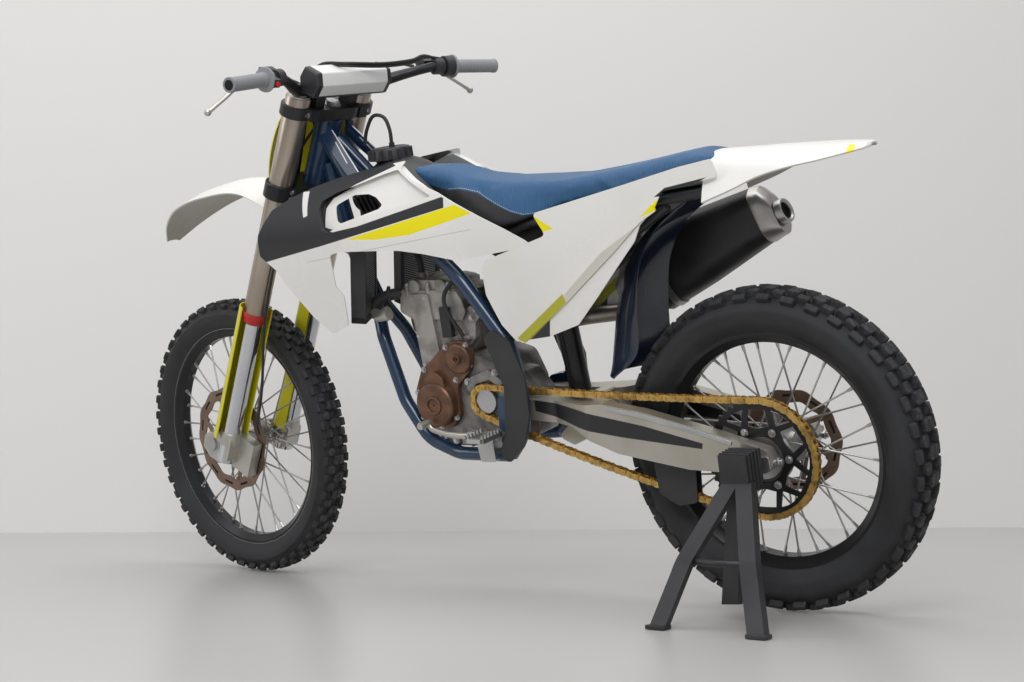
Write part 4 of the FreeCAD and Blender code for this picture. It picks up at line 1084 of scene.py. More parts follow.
paintCover(coverWhite)
skin = coverParts()
for side, parts in (("left", [skin]), ("right", mirroredParts([skin]))):
    thing = addPiece("sideCover_" + side, parts, bikeToRow, coverWhite, "chassis", angle=36)
    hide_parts("side_cover_" + side)
print("side covers made")


# silencer: a wedge with a brushed end

silencer = {
    "shape": ((-0.72, -0.5), (-0.4, -0.9), (0.3, -1.0), (0.85, -0.62), (1.0, 0.1), (0.72, 0.78), (0.1, 1.0),
              (-0.72, 0.7)),
    "y": -128.0, "inner": -78.0, "up": (0.358, 0.0, 0.934), "mouth": (-6, -128, 809.6), "mouthSlope": (9.6, -26.0),
    # x, z, half height, half width
    "cone": ((404, 646, 40, 30), (380, 661, 62, 36), (350, 680, 82, 42), (322, 697, 93, 45)),
    "band": ((300, 706, 97.5, 49), (284, 712, 95.5, 48.5)),
    "can": ((322, 697, 96, 47), (200, 743, 83, 46), (46, 804.9, 63, 44)),
    "cap": ((47, 804.5, 63, 44), (44, 805.6, 65, 46), (24, 811, 60, 43), (8, 806, 49, 37), (2, 803, 42, 32)),
}


def wedgeRing(x, z, tall, wide):
    # the eight corners rounded into a smooth closed section
    shape = rounded(silencer["shape"], 0.55)
    y = np.minimum(silencer["y"] - shape[:, 0] * wide, silencer["inner"])
    middle = np.stack((np.full(len(y), x), y, np.full(len(y), z)), axis=-1)
    return middle + shape[:, 1:] * tall * np.array(silencer["up"])


def wedgeMesh(sections):
    rings = [wedgeRing(*section) for section in sections]
    return np.concatenate(rings), tubeFaces(len(rings), len(rings[0]))


canFinish = finish("silencerBlack", (0.014, 0.014, 0.015), (0.028, 0.028, 0.028), rough=(0.3, 0.46), driftScale=12,
                   grainScale=900, grain=0.15)
canSteel = finish("silencerSteel", (0.40, 0.38, 0.36), (0.28, 0.25, 0.23), metallic=0.9, rough=(0.3, 0.46),
                  driftScale=9, grain=0.04)
capSteel = finish("capSteel", (0.46, 0.44, 0.42), (0.34, 0.30, 0.27), metallic=0.9, rough=(0.3, 0.44), driftScale=12,
                  grain=0.03)
can = addPiece("silencerCan", [wedgeMesh(silencer["can"])], bikeToRow, canFinish, "chassis", angle=35, bevel=1.5)
coneParts = [wedgeMesh(silencer["cone"]), wedgeMesh(silencer["band"])]
cone = addPiece("silencerCone", coneParts, bikeToRow, canSteel, "chassis", angle=35)
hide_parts("silencer")
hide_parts("silencer")
endCap = addPiece("silencerEnd", [wedgeMesh(silencer["cap"])], bikeToRow, capSteel, "chassis", angle=35)
mouthTilt = Matrix.Rotation(math.atan2(*silencer["mouthSlope"]), 3, "Y").transposed()
mouthSpin = mouthTilt @ Matrix.Rotation(math.radians(-90), 3, "Z")


def mouthPart(profile):
    # a turned part about the silencer's own line, at its open end
    return placedParts([turnedMesh(profile, (0, 0, 0), 56)], mouthSpin, silencer["mouth"])


addPiece("silencerRing", mouthPart([(-6, 18), (-6, 27), (5, 27), (9, 25), (9, 21), (6, 18)]), bikeToRow, capSteel,
         "chassis")
# painted shade and soot: a near-black plug set a little inside the mouth, standing for the dark inside of the open
# pipe
addPiece("silencerBore", mouthPart([(-6, 0), (-6, 18.5), (4, 18.5), (4, 17.5), (-3, 16), (-3, 0)]), bikeToRow,
         finish("boreShadeAndSoot", (0.006, 0.006, 0.006), (0.012, 0.011, 0.01), rough=(0.8, 0.9)), "chassis")
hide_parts("silencer_cap")
print("silencer made")


# engine

engine = {
    "left": 66.0, "right": 95.0, "studs": (744, 800, 858), "generator": (798, 0, 452), "starter": (722, 0, 555),
    "clutch": (706, 0, 452), "pump": (806, 0, 430),
    "bosses": ((636, 520), (712, 500), (620, 396), (728, 380), (768, 366)),
}


def slabPart(outline, low, high, bend=6.0):
    return slabMesh(rounded(outline, bend), low, high)


def hexHead(place, out, radius=6.0, height=6.0):
    # a flanged bolt head that stands on its place
    place, out = np.array(place, dtype=float), np.array(out, dtype=float)
    return [rodMesh(place - out * 1.5, place + out * 1.2, radius * 1.35),
            rodMesh(place + out, place + out * height, radius, radius * 0.94, sides=6)]


def engineParts():
    left = engine["left"]
    parts = [slabPart(((728, 530), (724, 610), (716, 642), (850, 650), (842, 526)), -56, 54, 8),
             slabPart(((701, 654), (708, 682), (721, 704), (876, 708), (884, 660), (852, 642), (714, 636)), -62, 60,
                      9),
             slabPart(((730, 696), (738, 722), (768, 728), (852, 730), (868, 716), (872, 700)), -54, 52, 9),
             slabPart(((782, 530), (838, 530), (848, 700), (796, 700)), 48, left, 10),
             slabPart(((712, 634), (712, 640), (856, 648), (856, 642)), -60, 58, 2),
             slabPart(((724, 700), (724, 706), (878, 710), (878, 704)), -58, 56, 2),
             rodMesh((862, -20, 664), (894, -22, 656), 27, sides=32),
             rodMesh((720, 0, 664), (698, 0, 672), 30, sides=32)]
    # the cast rear flange with its engine mount, and ribs on barrel and head
    parts.append(slabPart(((724, 640), (700, 664), (668, 676), (660, 652), (684, 628), (690, 594), (724, 560)), 34,
                          52, 9))
    for height in range(6):
        low = 548 + height * 14
        parts.append(slabPart(((733 + height, low), (733 + height, low + 4), (776, low + 5), (776, low + 1)), 53,
                              57.5, 1.5))
    for x in engine["studs"]:
        for y in (-56, 54):
            parts.append(rodMesh((x, y, 696), (x, y, 718), 7.5))
    parts += [rodMesh((836, 20, 722), (838, 20, 742), 13, 12, sides=24),
              rodMesh((760, 50, 716), (760, 62, 716), 15, sides=24),
              rodMesh((834, 50, 716), (834, 62, 716), 15, sides=24)]
    return parts


def caseParts():
    left, right = engine["left"], engine["right"]
    outline = ((616, 352), (792, 352), (852, 402), (860, 470), (812, 540), (700, 560), (636, 540), (612, 480))
    parts = [slabPart(outline, -right, left - 4, 26), slabPart(outline, left - 6, left, 30)]
    middle = np.array((735, 450))
    wide = [tuple(middle + (np.array(point) - middle) * 1.035) for point in outline]
    parts.append(slabPart(wide, -15, -9, 28))
    parts.append(slabPart(((562, 372), (640, 356), (640, 520), (592, 512), (560, 470)), -38, 38, 14))
    for x in (650, 690, 730, 770):
        parts.append(slabPart(((x - 3, 350), (x + 3, 350), (x + 3, 366), (x - 3, 366)), -70, left + 1, 1))
    # sprocket cover frame, stator bosses and the drain side's ribs on the left
    parts.append(slabPart(((612, 500), (650, 528), (700, 512), (716, 486), (704, 474), (688, 496), (650, 506),
                           (626, 486)), left - 6, left + 12, 6))
    parts.append(slabPart(((606, 402), (640, 372), (700, 366), (736, 384), (730, 398), (696, 384), (648, 388),
                           (620, 412)), left - 6, left + 9, 6))
    parts += [rodMesh((x, left - 4, z), (x, left + 9, z), 11, 10, sides=20) for x, z in engine["bosses"]]
    return parts


def boltParts():
    # heads on the left side, by places in x and z, distance from the middle, radius and height; then the studs
    left = engine["left"]
    rows = ((engine["bosses"], left + 9, 5.5, 5),
            (((800, 372), (848, 410), (852, 462), (624, 362)), left - 1, 5.5, 6),
            (((676, 660), (706, 596), (692, 640)), 52, 6, 6),
            (((752, 538),), 54, 4.6, 5),
            (((832, 538), (790, 560), (838, 604), (842, 690), (806, 690)), 60, 4.6, 7),
            (((752, 420), (798, 400), (846, 420), (852, 478), (826, 530), (700, 584), (756, 580), (696, 540),
              (740, 506)),
             left + 13, 5, 6))
    heads = [hexHead((x, y, z), (0, 1, 0), radius, height) for places, y, radius, height in rows for x, z in places]
    heads += [hexHead((x, 54, 718), (0, 0, 1), 5, 5) for x in engine["studs"]]
    return sum(heads, [])


def ignitionParts():
    left = engine["left"]
    outline = ((742, 424), (768, 396), (828, 396), (858, 430), (856, 484), (834, 528), (806, 548), (752, 592),
               (708, 594), (686, 566), (700, 524), (738, 492))
    parts = [slabPart(outline, left - 1, left + 14, 16),
             turnedMesh([(left + 10, 2), (left + 10, 53), (left + 29, 50), (left + 33, 46), (left + 33, 2)],
                        engine["generator"], 72),
             turnedMesh([(left + 32, 15), (left + 32, 22), (left + 37, 21), (left + 37, 15)], engine["generator"],
                        48),
             slabPart(((760, 452), (836, 452), (820, 512), (790, 530), (768, 512)), left + 10, left + 27, 14),
             turnedMesh([(left + 10, 2), (left + 10, 36), (left + 21, 34), (left + 24, 30), (left + 24, 2)],
                        engine["starter"], 56),
             turnedMesh([(left + 23, 6), (left + 23, 12), (left + 29, 11), (left + 29, 6)], engine["starter"], 32)]
    for index in range(9):
        turn = math.radians(200 + 18 * index)
        a = np.array((798 + 46 * math.cos(turn), 0, 452 + 46 * math.sin(turn)))
        parts.append(rodMesh(a + (0, left + 12, 0), a + (0, left + 31, 0), 3.6, 3.0, sides=10))
    return parts


cast = finish("engineCast", (0.43, 0.415, 0.385), (0.20, 0.19, 0.175), metallic=0.75, rough=(0.38, 0.6),
              driftScale=22, grainScale=500, grain=0.25)
darkCast = finish("engineDark", (0.30, 0.29, 0.275), (0.10, 0.095, 0.09), metallic=0.7, rough=(0.4, 0.62),
                  driftScale=24, grainScale=500, grain=0.25)
bronze = finish("ignitionBronze", (0.19, 0.098, 0.062), (0.09, 0.05, 0.035), metallic=0.6, rough=(0.32, 0.52),
                driftScale=26, grainScale=700, grain=0.12)
barrel = addPiece("cylinderBlock", engineParts(), bikeToRow, cast, "chassis", angle=30, bevel=1.2)
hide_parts("cylinder")
cases = addPiece("engineCases", caseParts(), bikeToRow, darkCast, "chassis", angle=30, bevel=1.6)
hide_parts("engine_cases")
generator = addPiece("ignitionCover", ignitionParts(), bikeToRow, bronze, "chassis", angle=30, bevel=1.0)
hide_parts("ignition_cover")
addPiece("engineBolts", boltParts(), bikeToRow, finishes["steel"], "chassis", angle=30)


def clutchParts():
    face = -engine["right"]
    parts = [turnedMesh([(face + 1, 2), (face + 1, 76), (face - 26, 72), (face - 34, 64), (face - 34, 2)],
                        engine["clutch"], 72),
             turnedMesh([(face + 1, 2), (face + 1, 44), (face - 22, 44), (face - 24, 40), (face - 24, 2)],
                        engine["pump"], 56),
             turnedMesh([(face - 20, 2), (face - 20, 26), (face - 40, 24), (face - 40, 2)], engine["pump"], 40),
             rodMesh((806, face - 28, 430), (846, face - 30, 466), 13, sides=24)]
    for index in range(6):
        turn = math.radians(60 * index + 20)
        parts += hexHead((706 + 58 * math.cos(turn), face - 33, 452 + 58 * math.sin(turn)), (0, -1, 0), 5, 6)
    return parts


clutch = addPiece("clutchCover", clutchParts(), bikeToRow, bronze, "chassis", angle=30, bevel=1.0)
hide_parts("clutch_cover")


# black fittings round the head: plug lead, hoses, throttle body and a coil, as the real engine has

def fittingParts():
    parts = [hose([(837, 20, 738), (842, 18, 776), (872, 8, 806), (892, 0, 830)], 24, 8, 14),
             hose([(866, 42, 700), (900, 60, 700), (930, 70, 690), (952, 78, 668)], 24, 13, 18),
             tubeMesh(smoothPath([(700, 0, 671), (660, 0, 684), (610, 0, 712), (572, 0, 738)], 24), [26] * 24, 32),
             rodMesh((672, -34, 682), (672, 40, 682), 13, sides=24),
             rodMesh((672, 40, 682), (672, 52, 682), 17, sides=24),
             hose([(672, 48, 690), (700, 66, 716), (760, 62, 770), (812, 50, 812)], 30, 4.2, 10),
             hose([(716, 60, 600), (740, 74, 660), (742, 72, 700), (700, 64, 742)], 30, 4.6, 10),
             boxMesh((742, 54, 600), (768, 68, 668))]
    for z in (698, 712):
        parts.append(rodMesh((908, 60, z - 8), (912, 64, z - 6), 15, sides=20))
    return parts


addPiece("engineFittings", fittingParts(), bikeToRow, finishes["hose_rubber"], "chassis", angle=35)


# gear lever, left and right footpeg, foot brake

def leverParts():
    parts = [hose([(690, 56, 386), (690, 108, 386)], 4, 7, 14),
             rodMesh((690, 98, 386), (690, 116, 386), 12, sides=20),
             tubeMesh(smoothPath([(690, 108, 386), (744, 112, 388), (792, 118, 400), (806, 118, 414)], 20),
                      [7.5] * 8 + [6.0] * 12, 12, squeeze=0.8),
             rodMesh((808, 110, 416), (808, 146, 416), 8)]
    for ring in range(5):
        parts.append(rodMesh((808, 120 + 5 * ring, 416), (808, 122.5 + 5 * ring, 416), 9))
    return parts


def pegParts():
    # an open cleated frame on its lug
    root = 122.0
    parts = [slabPart(((624, 334), (664, 334), (668, 372), (650, 398), (626, 398)), 96, root + 8, 6),
             boxMesh((602, root, 392), (612, root + 70, 402)), boxMesh((648, root, 392), (658, root + 70, 402)),
             boxMesh((602, root, 392), (658, root + 11, 402)), boxMesh((602, root + 60, 392), (658, root + 70, 402)),
             boxMesh((627, root + 4, 393), (632, root + 66, 401)),
             rodMesh((630, root - 4, 384), (630, root + 10, 384), 8)]
    for index in range(6):
        for x in (603.5, 649.5):
            y = root + 4 + index * 12
            low = np.array([(x, y, 401), (x + 7, y, 401), (x + 7, y + 6, 401), (x, y + 6, 401)], dtype=float)
            high = low + (0, 0, 8)
            high = high.mean(axis=0) + (high - high.mean(axis=0)) * (0.55, 0.4, 1)
            parts.append((np.vstack((low, high)), tubeFaces(2, 4)))
    return parts


def pedalParts():
    y = -128.0
    return [hose([(640, y, 352), (700, y, 346), (770, y, 366), (806, y + 4, 396)], 20, 6, 12),
            boxMesh((790, y - 12, 396), (824, y + 18, 403)), rodMesh((644, y - 10, 352), (644, -92, 352), 9)]


addPiece("gearLever", leverParts(), bikeToRow, finishes["alloy"], "chassis", angle=35)
addPiece("footpegs", bothSides(pegParts()), bikeToRow, finishes["steel"], "chassis", angle=30)
addPiece("footBrake", pedalParts(), bikeToRow, finishes["alloy"], "chassis", angle=35)
print("engine made")


# fork, controls and guards, in the fork's own frame: ahead, left, up along the steering axis

fork = {"ahead": 16.0, "side": 92.0, "low": 735.0, "high": 1284.0, "seal": 24.0}
clamps = {"low": (1035, 36, 37), "high": (1237, 28, 36.5)}  # lower face, thickness, radius round the tube


def forkRings(rises, radii, sides=48):
    # a turned part round each tube
    a, y = fork["ahead"], fork["side"]
    return [tubeMesh([(a, side * y, rise) for rise in rises], radii, sides) for side in (-1, 1)]


def tubeParts():
    # the outer tubes, each with a small edge at both ends
    low, high = fork["low"], fork["high"]
    return forkRings((low - 1, low + 1, high - 2, high), (28, 29, 29, 28))


def sealParts():
    low, start = fork["low"], fork["low"] - fork["seal"]
    rises = (start, start + 4, low - 8, low - 7, low + 2, low + 3)
    return forkRings(rises, (25.2, 28.5, 29.5, 31.2, 31.2, 29.4))


def capParts():
    parts = []
    for side in (-1, 1):
        base = np.array((fork["ahead"], side * fork["side"], fork["high"]))
        parts += [rodMesh(base - (0, 0, 1), base + (0, 0, 4), 26.5, 25.5, 40),
                  rodMesh(base + (0, 0, 4), base + (0, 0, 7), 20, 19, 32),
                  rodMesh(base + (0, 0, 6), base + (0, 0, 12), 9.5, 9.5, 6)]
    return parts


tubeFinish = finish("forkAnodised", (0.47, 0.40, 0.33), (0.40, 0.335, 0.27), metallic=0.92, rough=(0.26, 0.36),
                    driftScale=4, grain=0.02)
tubes = addPiece("forkTubes", tubeParts(), forkToRow, tubeFinish, "steering", angle=35)
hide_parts("fork_outer_tubes")
sealRed = finish("sealRed", (0.50, 0.02, 0.012), (0.35, 0.018, 0.012), rough=(0.35, 0.5), grain=0.05)
addPiece("forkSeals", sealParts(), forkToRow, sealRed, "steering", angle=35)
addPiece("forkCaps", capParts(), forkToRow, finishes["alloy"], "steering", angle=30)


def clampParts(start, thick, lobe, front):
    # a ring round each tube with its slit lug, and a plate between them
    a, y = fork["ahead"], fork["side"]
    edge = 1.2
    parts = forkRings((start, start + edge, start + thick - edge, start + thick),
                      (lobe - edge, lobe, lobe, lobe - edge))
    for side in (-1, 1):
        parts.append(boxMesh((a - lobe - 9, side * (y - 18) - 12, start + 1),
                             (a - lobe + 14, side * (y - 18) + 12, start + thick - 1)))
    outline = ((-30, -44), (-20, -y), (a + 22, -y), (front, -46), (front, 46), (a + 22, y), (-20, y), (-30, 44))
    points, faces = slabMesh(rounded(outline, 12), start, start + thick)
    parts.append((points[:, [0, 2, 1]], faces))
    return parts


def clampBolts(start, thick, lobe):
    parts = []
    for side in (-1, 1):
        for rise in ((0.28, 0.72) if thick > 30 else (0.5,)):
            place = (fork["ahead"] - lobe + 2, side * (fork["side"] - 6), start + thick * rise)
            parts += hexHead(place, (0, side, 0), 6, 9)
    return parts


clampFinish = finish("clampBlack", (0.012, 0.012, 0.014), (0.03, 0.03, 0.032), metallic=0.3, rough=(0.26, 0.42),
                     grain=0.06)
stem = rodMesh((0, 0, 1035), (0, 0, 1237), 14.5, sides=32)
lowClamp = addPiece("lowerClamp", clampParts(*clamps["low"], 60) + [stem], forkToRow, clampFinish, "steering",
                    angle=30, bevel=1.0)
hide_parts("lower_clamp")
mounts = [boxMesh((-13, side * 48 - 13, 1260), (21, side * 48 + 13, 1304)) for side in (-1, 1)]
highClamp = addPiece("upperClamp", clampParts(*clamps["high"], 46) + mounts, forkToRow, clampFinish, "steering",
                     angle=30, bevel=1.0)
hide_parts("upper_clamp")
stemNut = [rodMesh((0, 0, 1264), (0, 0, 1274), 17, 16, 6), rodMesh((0, 0, 1262), (0, 0, 1266), 21, 21, 32)]
addPiece("clampBolts", clampBolts(*clamps["low"]) + clampBolts(*clamps["high"]) + stemNut, forkToRow,
         finishes["steel"], "steering", angle=30)


def footParts():
    # the cast foot that holds the axle ahead of each tube, with its pinch bolts
    a, y = fork["ahead"], fork["side"]
    parts = forkRings((380, 400, 412), (29, 28, 25.5), 40)
    for side in (-1, 1):
        outline = ((a - 26, 398), (a - 26, 345), (14, 324), (54, 322), (84, 336), (86, 368), (62, 386), (44, 402))
        parts.append(slabPart(outline, side * y - 21, side * y + 21, 12))
    return parts


def lugBolts():
    parts = []
    for side in (-1, 1):
        for near in (-9, 9):
            parts += hexHead((80, side * fork["side"] + near, 366), (0.2, 0, 0.98), 5, 6)
        near, far = (side * (fork["side"] + reach) for reach in (20, 26))
        parts.append(rodMesh((53.4, near, 359.1), (53.4, far, 359.1), 19, 18, 32))
    return parts


addPiece("forkFeet", footParts(), forkToRow, finishes["alloy"], "steering", angle=30, bevel=1.5)
addPiece("forkFootBolts", lugBolts(), forkToRow, finishes["steel"], "steering", angle=30)


def guardParts():
    # a shell round the tube's front with a flared foot
    a, y = fork["ahead"], fork["side"]
    section = smoothPath([(-22, -33), (0, -37), (20, -31), (34, -12), (37, 10), (29, 28), (10, 36)], 25)
    shrink = 1 - 2.6 / np.hypot(section[:, 0], section[:, 1])[:, None]
    loop = np.vstack((section, (section * shrink)[::-1]))
    rises = np.linspace(392, fork["low"] + 12, 22)
    swell = 1 + 0.05 * np.clip((430 - rises) / 40, 0, 1)
    rings = [np.stack((a + loop[:, 0] * grow, y + loop[:, 1] * grow, np.full(len(loop), rise)), axis=-1)
             for rise, grow in zip(rises, swell)]
    return bothSides([(np.concatenate(rings), tubeFaces(len(rises), len(loop)))])


guardFinish = finish("guardYellow", (0.66, 0.60, 0.01), (0.60, 0.55, 0.02), rough=(0.28, 0.42), grain=0.02, coat=0.1)
guards = addPiece("forkGuards", guardParts(), forkToRow, guardFinish, "steering", angle=35)
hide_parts("fork_guards")


# bar, pad, grips and controls

bars = {"end": (-100.0, 400.0, 1375.0), "bend": (-66.0, 235.0, 1369.0), "centre": (4.0, 110.0, 1304.0)}


def barLine(setback):
    # a place on the left grip's line, by its distance from the bar's end
    end, bend = np.array(bars["end"]), np.array(bars["bend"])
    return end + (bend - end) / np.linalg.norm(bend - end) * setback


def barParts():
    left = np.array([bars["end"], barLine(60), barLine(120), bars["bend"], (-30, 172, 1338), bars["centre"],
                     (4, 60, 1304)])
    path = smoothPath(np.vstack((left, left[::-1] * (1, -1, 1))), 120)
    radius = np.interp(np.abs(path[:, 1]), (110, 200), (14.3, 11.2))
    return [tubeMesh(path, radius, 24)]


def gripParts():
    # a ribbed sleeve with a flange and a raised end
    ring = []
    for t in np.arange(0, 118, 2.0):
        ribs = 0.55 if int(t / 2) % 2 else 0.0
        end = 1.6 if t < 10 else (1.0 if t > 104 else 0.0)
        ring.append((t + 0.5, 15.2 + ribs + end * 0.7))
    ring += [(117, 17), (118, 26.5), (121, 27.5), (123, 26.5), (124, 17)]
    path = np.array([barLine(t) for t, radius in ring])
    return bothSides([tubeMesh(path, [radius for t, radius in ring], 40)])


def padParts():
    # a six-sided bar with rounded corners, drawn in at both ends
    sections = []
    for y, size in ((-113, 0.86), (-109, 0.97), (-101, 1.0), (101, 1.0), (109, 0.97), (113, 0.86)):
        shape = rounded([(34, 4), (24, 31), (-22, 31), (-34, 4), (-24, -29), (22, -29)], 6, 5)
        sections.append(np.stack((-28 + shape[:, 0] * size, np.full(len(shape), y), 1334 + shape[:, 1] * size),
                                 axis=-1))
    return [(np.concatenate(sections), tubeFaces(len(sections), len(sections[0])))]


def padMaterial():
    # white vinyl on the rider's side with black ends and underside
    material = finish("padVinyl", (0.72, 0.71, 0.69), (0.66, 0.65, 0.62), rough=(0.4, 0.55), grainScale=900,
                      grain=0.12)
    place = placeIn(material, forkPlace)
    y = reckon(material, "ABSOLUTE", axisOf(material, place, "Y"))
    paint(material, fade(material, y, 97, 98), colour=decalBlack)
    paint(material, fade(material, axisOf(material, place, "Z"), 1312, 1310), colour=decalBlack)
    return material


bar = addPiece("barTube", barParts(), forkToRow, finishes["black_alloy"], "steering", angle=35)
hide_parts("handlebar")
gripPiece = addPiece("gripRubber", gripParts(), forkToRow, finishes["grip_rubber"], "steering", angle=25)
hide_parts("grips")
pad = addPiece("barPad", padParts(), forkToRow, padMaterial(), "steering", angle=30)
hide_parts("bar_pad")


def controlParts():
    # perch, master cylinder with its reservoir, and a thin blade of a lever to a ball end
    near, far = barLine(150), barLine(172)
    middle = (near + far) / 2
    body = middle + (34, 0, -16)
    black = [rodMesh(near, far, 19, sides=28), rodMesh(middle, body, 10, 9, 12),
             rodMesh(body - (0, 26, 0), body + (0, 26, 0), 11, sides=20),
             boxMesh(body + (-12, -24, 4), body + (16, 12, 22))]
    pivot = body + (4, 24, -4)
    lever = smoothPath([pivot, pivot + (10, 24, -10), (-14, 300, 1336), (-30, 340, 1318), (-45, 396, 1291)], 40)
    width = np.interp(np.linspace(0, 1, 40), (0, 0.15, 0.9, 1.0), (8.0, 6.6, 5.4, 6.6))
    bright = [tubeMesh(lever, width, 16, squeeze=0.72), rodMesh(pivot + (0, 0, 9), pivot - (0, 0, 9), 9.5, sides=20)]
    ball = np.linspace(-1, 1, 9)
    centre = lever[-1]
    bright.append(tubeMesh([centre + (0, 8 * t, 0) for t in ball], 8 * np.sqrt(np.clip(1 - ball ** 2, 0.02, 1)), 16))
    return black, bright


blackParts, brightParts = controlParts()
left = addPiece("clutchLever", brightParts, forkToRow, finishes["alloy"], "steering", angle=35)
right = addPiece("brakeLever", mirroredParts(brightParts), forkToRow, finishes["alloy"], "steering", angle=35)
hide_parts("clutch_lever")
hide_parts("brake_lever")
throttle = [rodMesh(barLine(125), barLine(146), 25, 24, 32)]
hub = barLine(133)
switch = [rodMesh(barLine(126), barLine(140), 17, sides=24), boxMesh(hub - (30, 8, 8), hub + (-12, 8, 10))]
addPiece("controlBodies", bothSides(blackParts) + mirroredParts(throttle) + switch, forkToRow,
         finishes["black_plastic"], "steering", angle=30)
button = hub + (-30, 0, 1)
addPiece("stopButton", [rodMesh(button, button - (4, 0, 0), 5.5)], forkToRow,
         finish("buttonRed", (0.6, 0.02, 0.015), (0.5, 0.02, 0.015)), "steering")


cableRadius = 3.4


def cableParts():
    # two throttle cables from the right housing behind the pad and down ahead of the head, and the hoses
    start = barLine(136) * (1, -1, 1)
    parts = []
    for shift in (0, 1):
        path = [start + (10, 0, 13 - 6 * shift), (-60, -205 + 6 * shift, 1391 + 4 * shift),
                (-78, -140, 1387 + 7 * shift), (-72, -60, 1381 + 7 * shift),
                (-34, 20, 1372 + 6 * shift), (30, 26 + 6 * shift, 1350), (66, 14 + 9 * shift, 1290),
                (64, 6 + 9 * shift, 1150), (56, 6 + 9 * shift, 1050)]
        parts.append(hose(path, 90, cableRadius, 10))
    brake = [(-18, -216, 1352), (26, -190, 1342), (58, -120, 1310), (60, -60, 1240), (56, 20, 1120), (30, 60, 1020),
             (-14, 92, 960), (-20, 96, 800), (-26, 92, 700), (-44, 80, 560), (-50, 76, 460)]
    parts.append(hose(brake, 120, cableRadius, 10))
    clutchHose = [(-18, 216, 1352), (20, 196, 1340), (50, 120, 1316), (58, 40, 1280), (50, -10, 1180),
                  (40, -20, 1060)]
    parts.append(hose(clutchHose, 70, cableRadius, 10))
    return parts


addPiece("controlCables", cableParts(), forkToRow, finishes["hose_rubber"], "steering", angle=50)
print("fork and controls made")


# seat: a padded cover, inflated by a short cloth run

seatForm = {
    # x, top, half width, lowest edge, how far the side flares out at that edge
    "rows": ((813, 983, 30, 974, 0), (792, 985, 48, 957, 0), (740, 973, 60, 928, 4), (680, 957, 70, 900, 14),
             (640, 945, 75, 872, 22), (580, 935, 79, 850, 26), (546, 932, 82, 842, 24), (500, 930, 84, 851, 18),
             (460, 928, 86, 862, 10), (420, 927, 87, 872, 6), (380, 927, 88, 884, 4), (250, 940, 86, 900, 4),
             (130, 956, 78, 916, 4), (64, 962, 66, 932, 3), (34, 960, 50, 942, 2)),
    "voxel": 0.0055, "frames": 20, "pressure": 4.0, "cap": 0.006, "stiffness": 25,
    "start": (0.998, 0.985, 1.0),  # its size before it swells
    "stitch": 5.5, "ribs": 6.0,  # mm from one to the next
    # the line where the blue cover meets the black side panel
    "seam": ((690, 927), (657, 928), (610, 917), (565, 895), (521, 875), (488, 865), (455, 866)),
}


def seatMesh():
    # stations along the bike, each a rounded section from the crown down the flared side to a flat base
    rows = smoothPath(seatForm["rows"], 90)
    x, top, half, low, flare = rows.T
    tall = top - low
    sides = [(0.0, 0.0, 1.0), (0.45, 0.0, 0.995), (0.78, 0.0, 0.97), (0.93, 0.0, 0.88), (1.0, 0.0, 0.70),
             (1.0, 0.5, 0.35), (1.0, 1.0, 0.05), (0.97, 1.0, 0.0)]
    right = np.array([[half * a + flare * b, low + tall * c] for a, b, c in sides])  # sections, (y, z), stations
    loop = np.concatenate((right, right[:0:-1] * np.array((-1, 1))[None, :, None]))
    points = np.stack((np.broadcast_to(x, loop[:, 0].shape), loop[:, 0], loop[:, 1]), axis=-1).transpose(1, 0, 2)
    return points.reshape(-1, 3), tubeFaces(len(rows), points.shape[1])


def inflate(thing, settings):
    # pressure from inside, no gravity; how far a point moves is capped and the base stays put
    rest = meshPlaces(thing.data)
    cloth = thing.modifiers.new("cloth", "CLOTH")
    cloth.settings.use_pressure = True
    cloth.settings.uniform_pressure_force = settings["pressure"]
    cloth.settings.effector_weights.gravity = 0
    cloth.settings.tension_stiffness = settings["stiffness"]
    cloth.settings.compression_stiffness = settings["stiffness"]
    cloth.point_cache.frame_end = settings["frames"]
    for number in range(1, settings["frames"] + 1):
        bpy.context.scene.frame_set(number)
    applied(thing)
    bpy.context.scene.frame_set(1)
    moved = meshPlaces(thing.data) - rest
    size = np.linalg.norm(moved, axis=1)[:, None]
    moved *= np.minimum(1.0, settings["cap"] / np.maximum(size, 1e-9))
    normals = np.empty(len(rest) * 3)
    thing.data.vertices.foreach_get("normal", normals)
    moved *= np.clip(normals.reshape(-1, 3)[:, 2:3] + 0.9, 0, 1)
    thing.data.vertices.foreach_set("co", (rest + moved).ravel())
    thing.data.update()


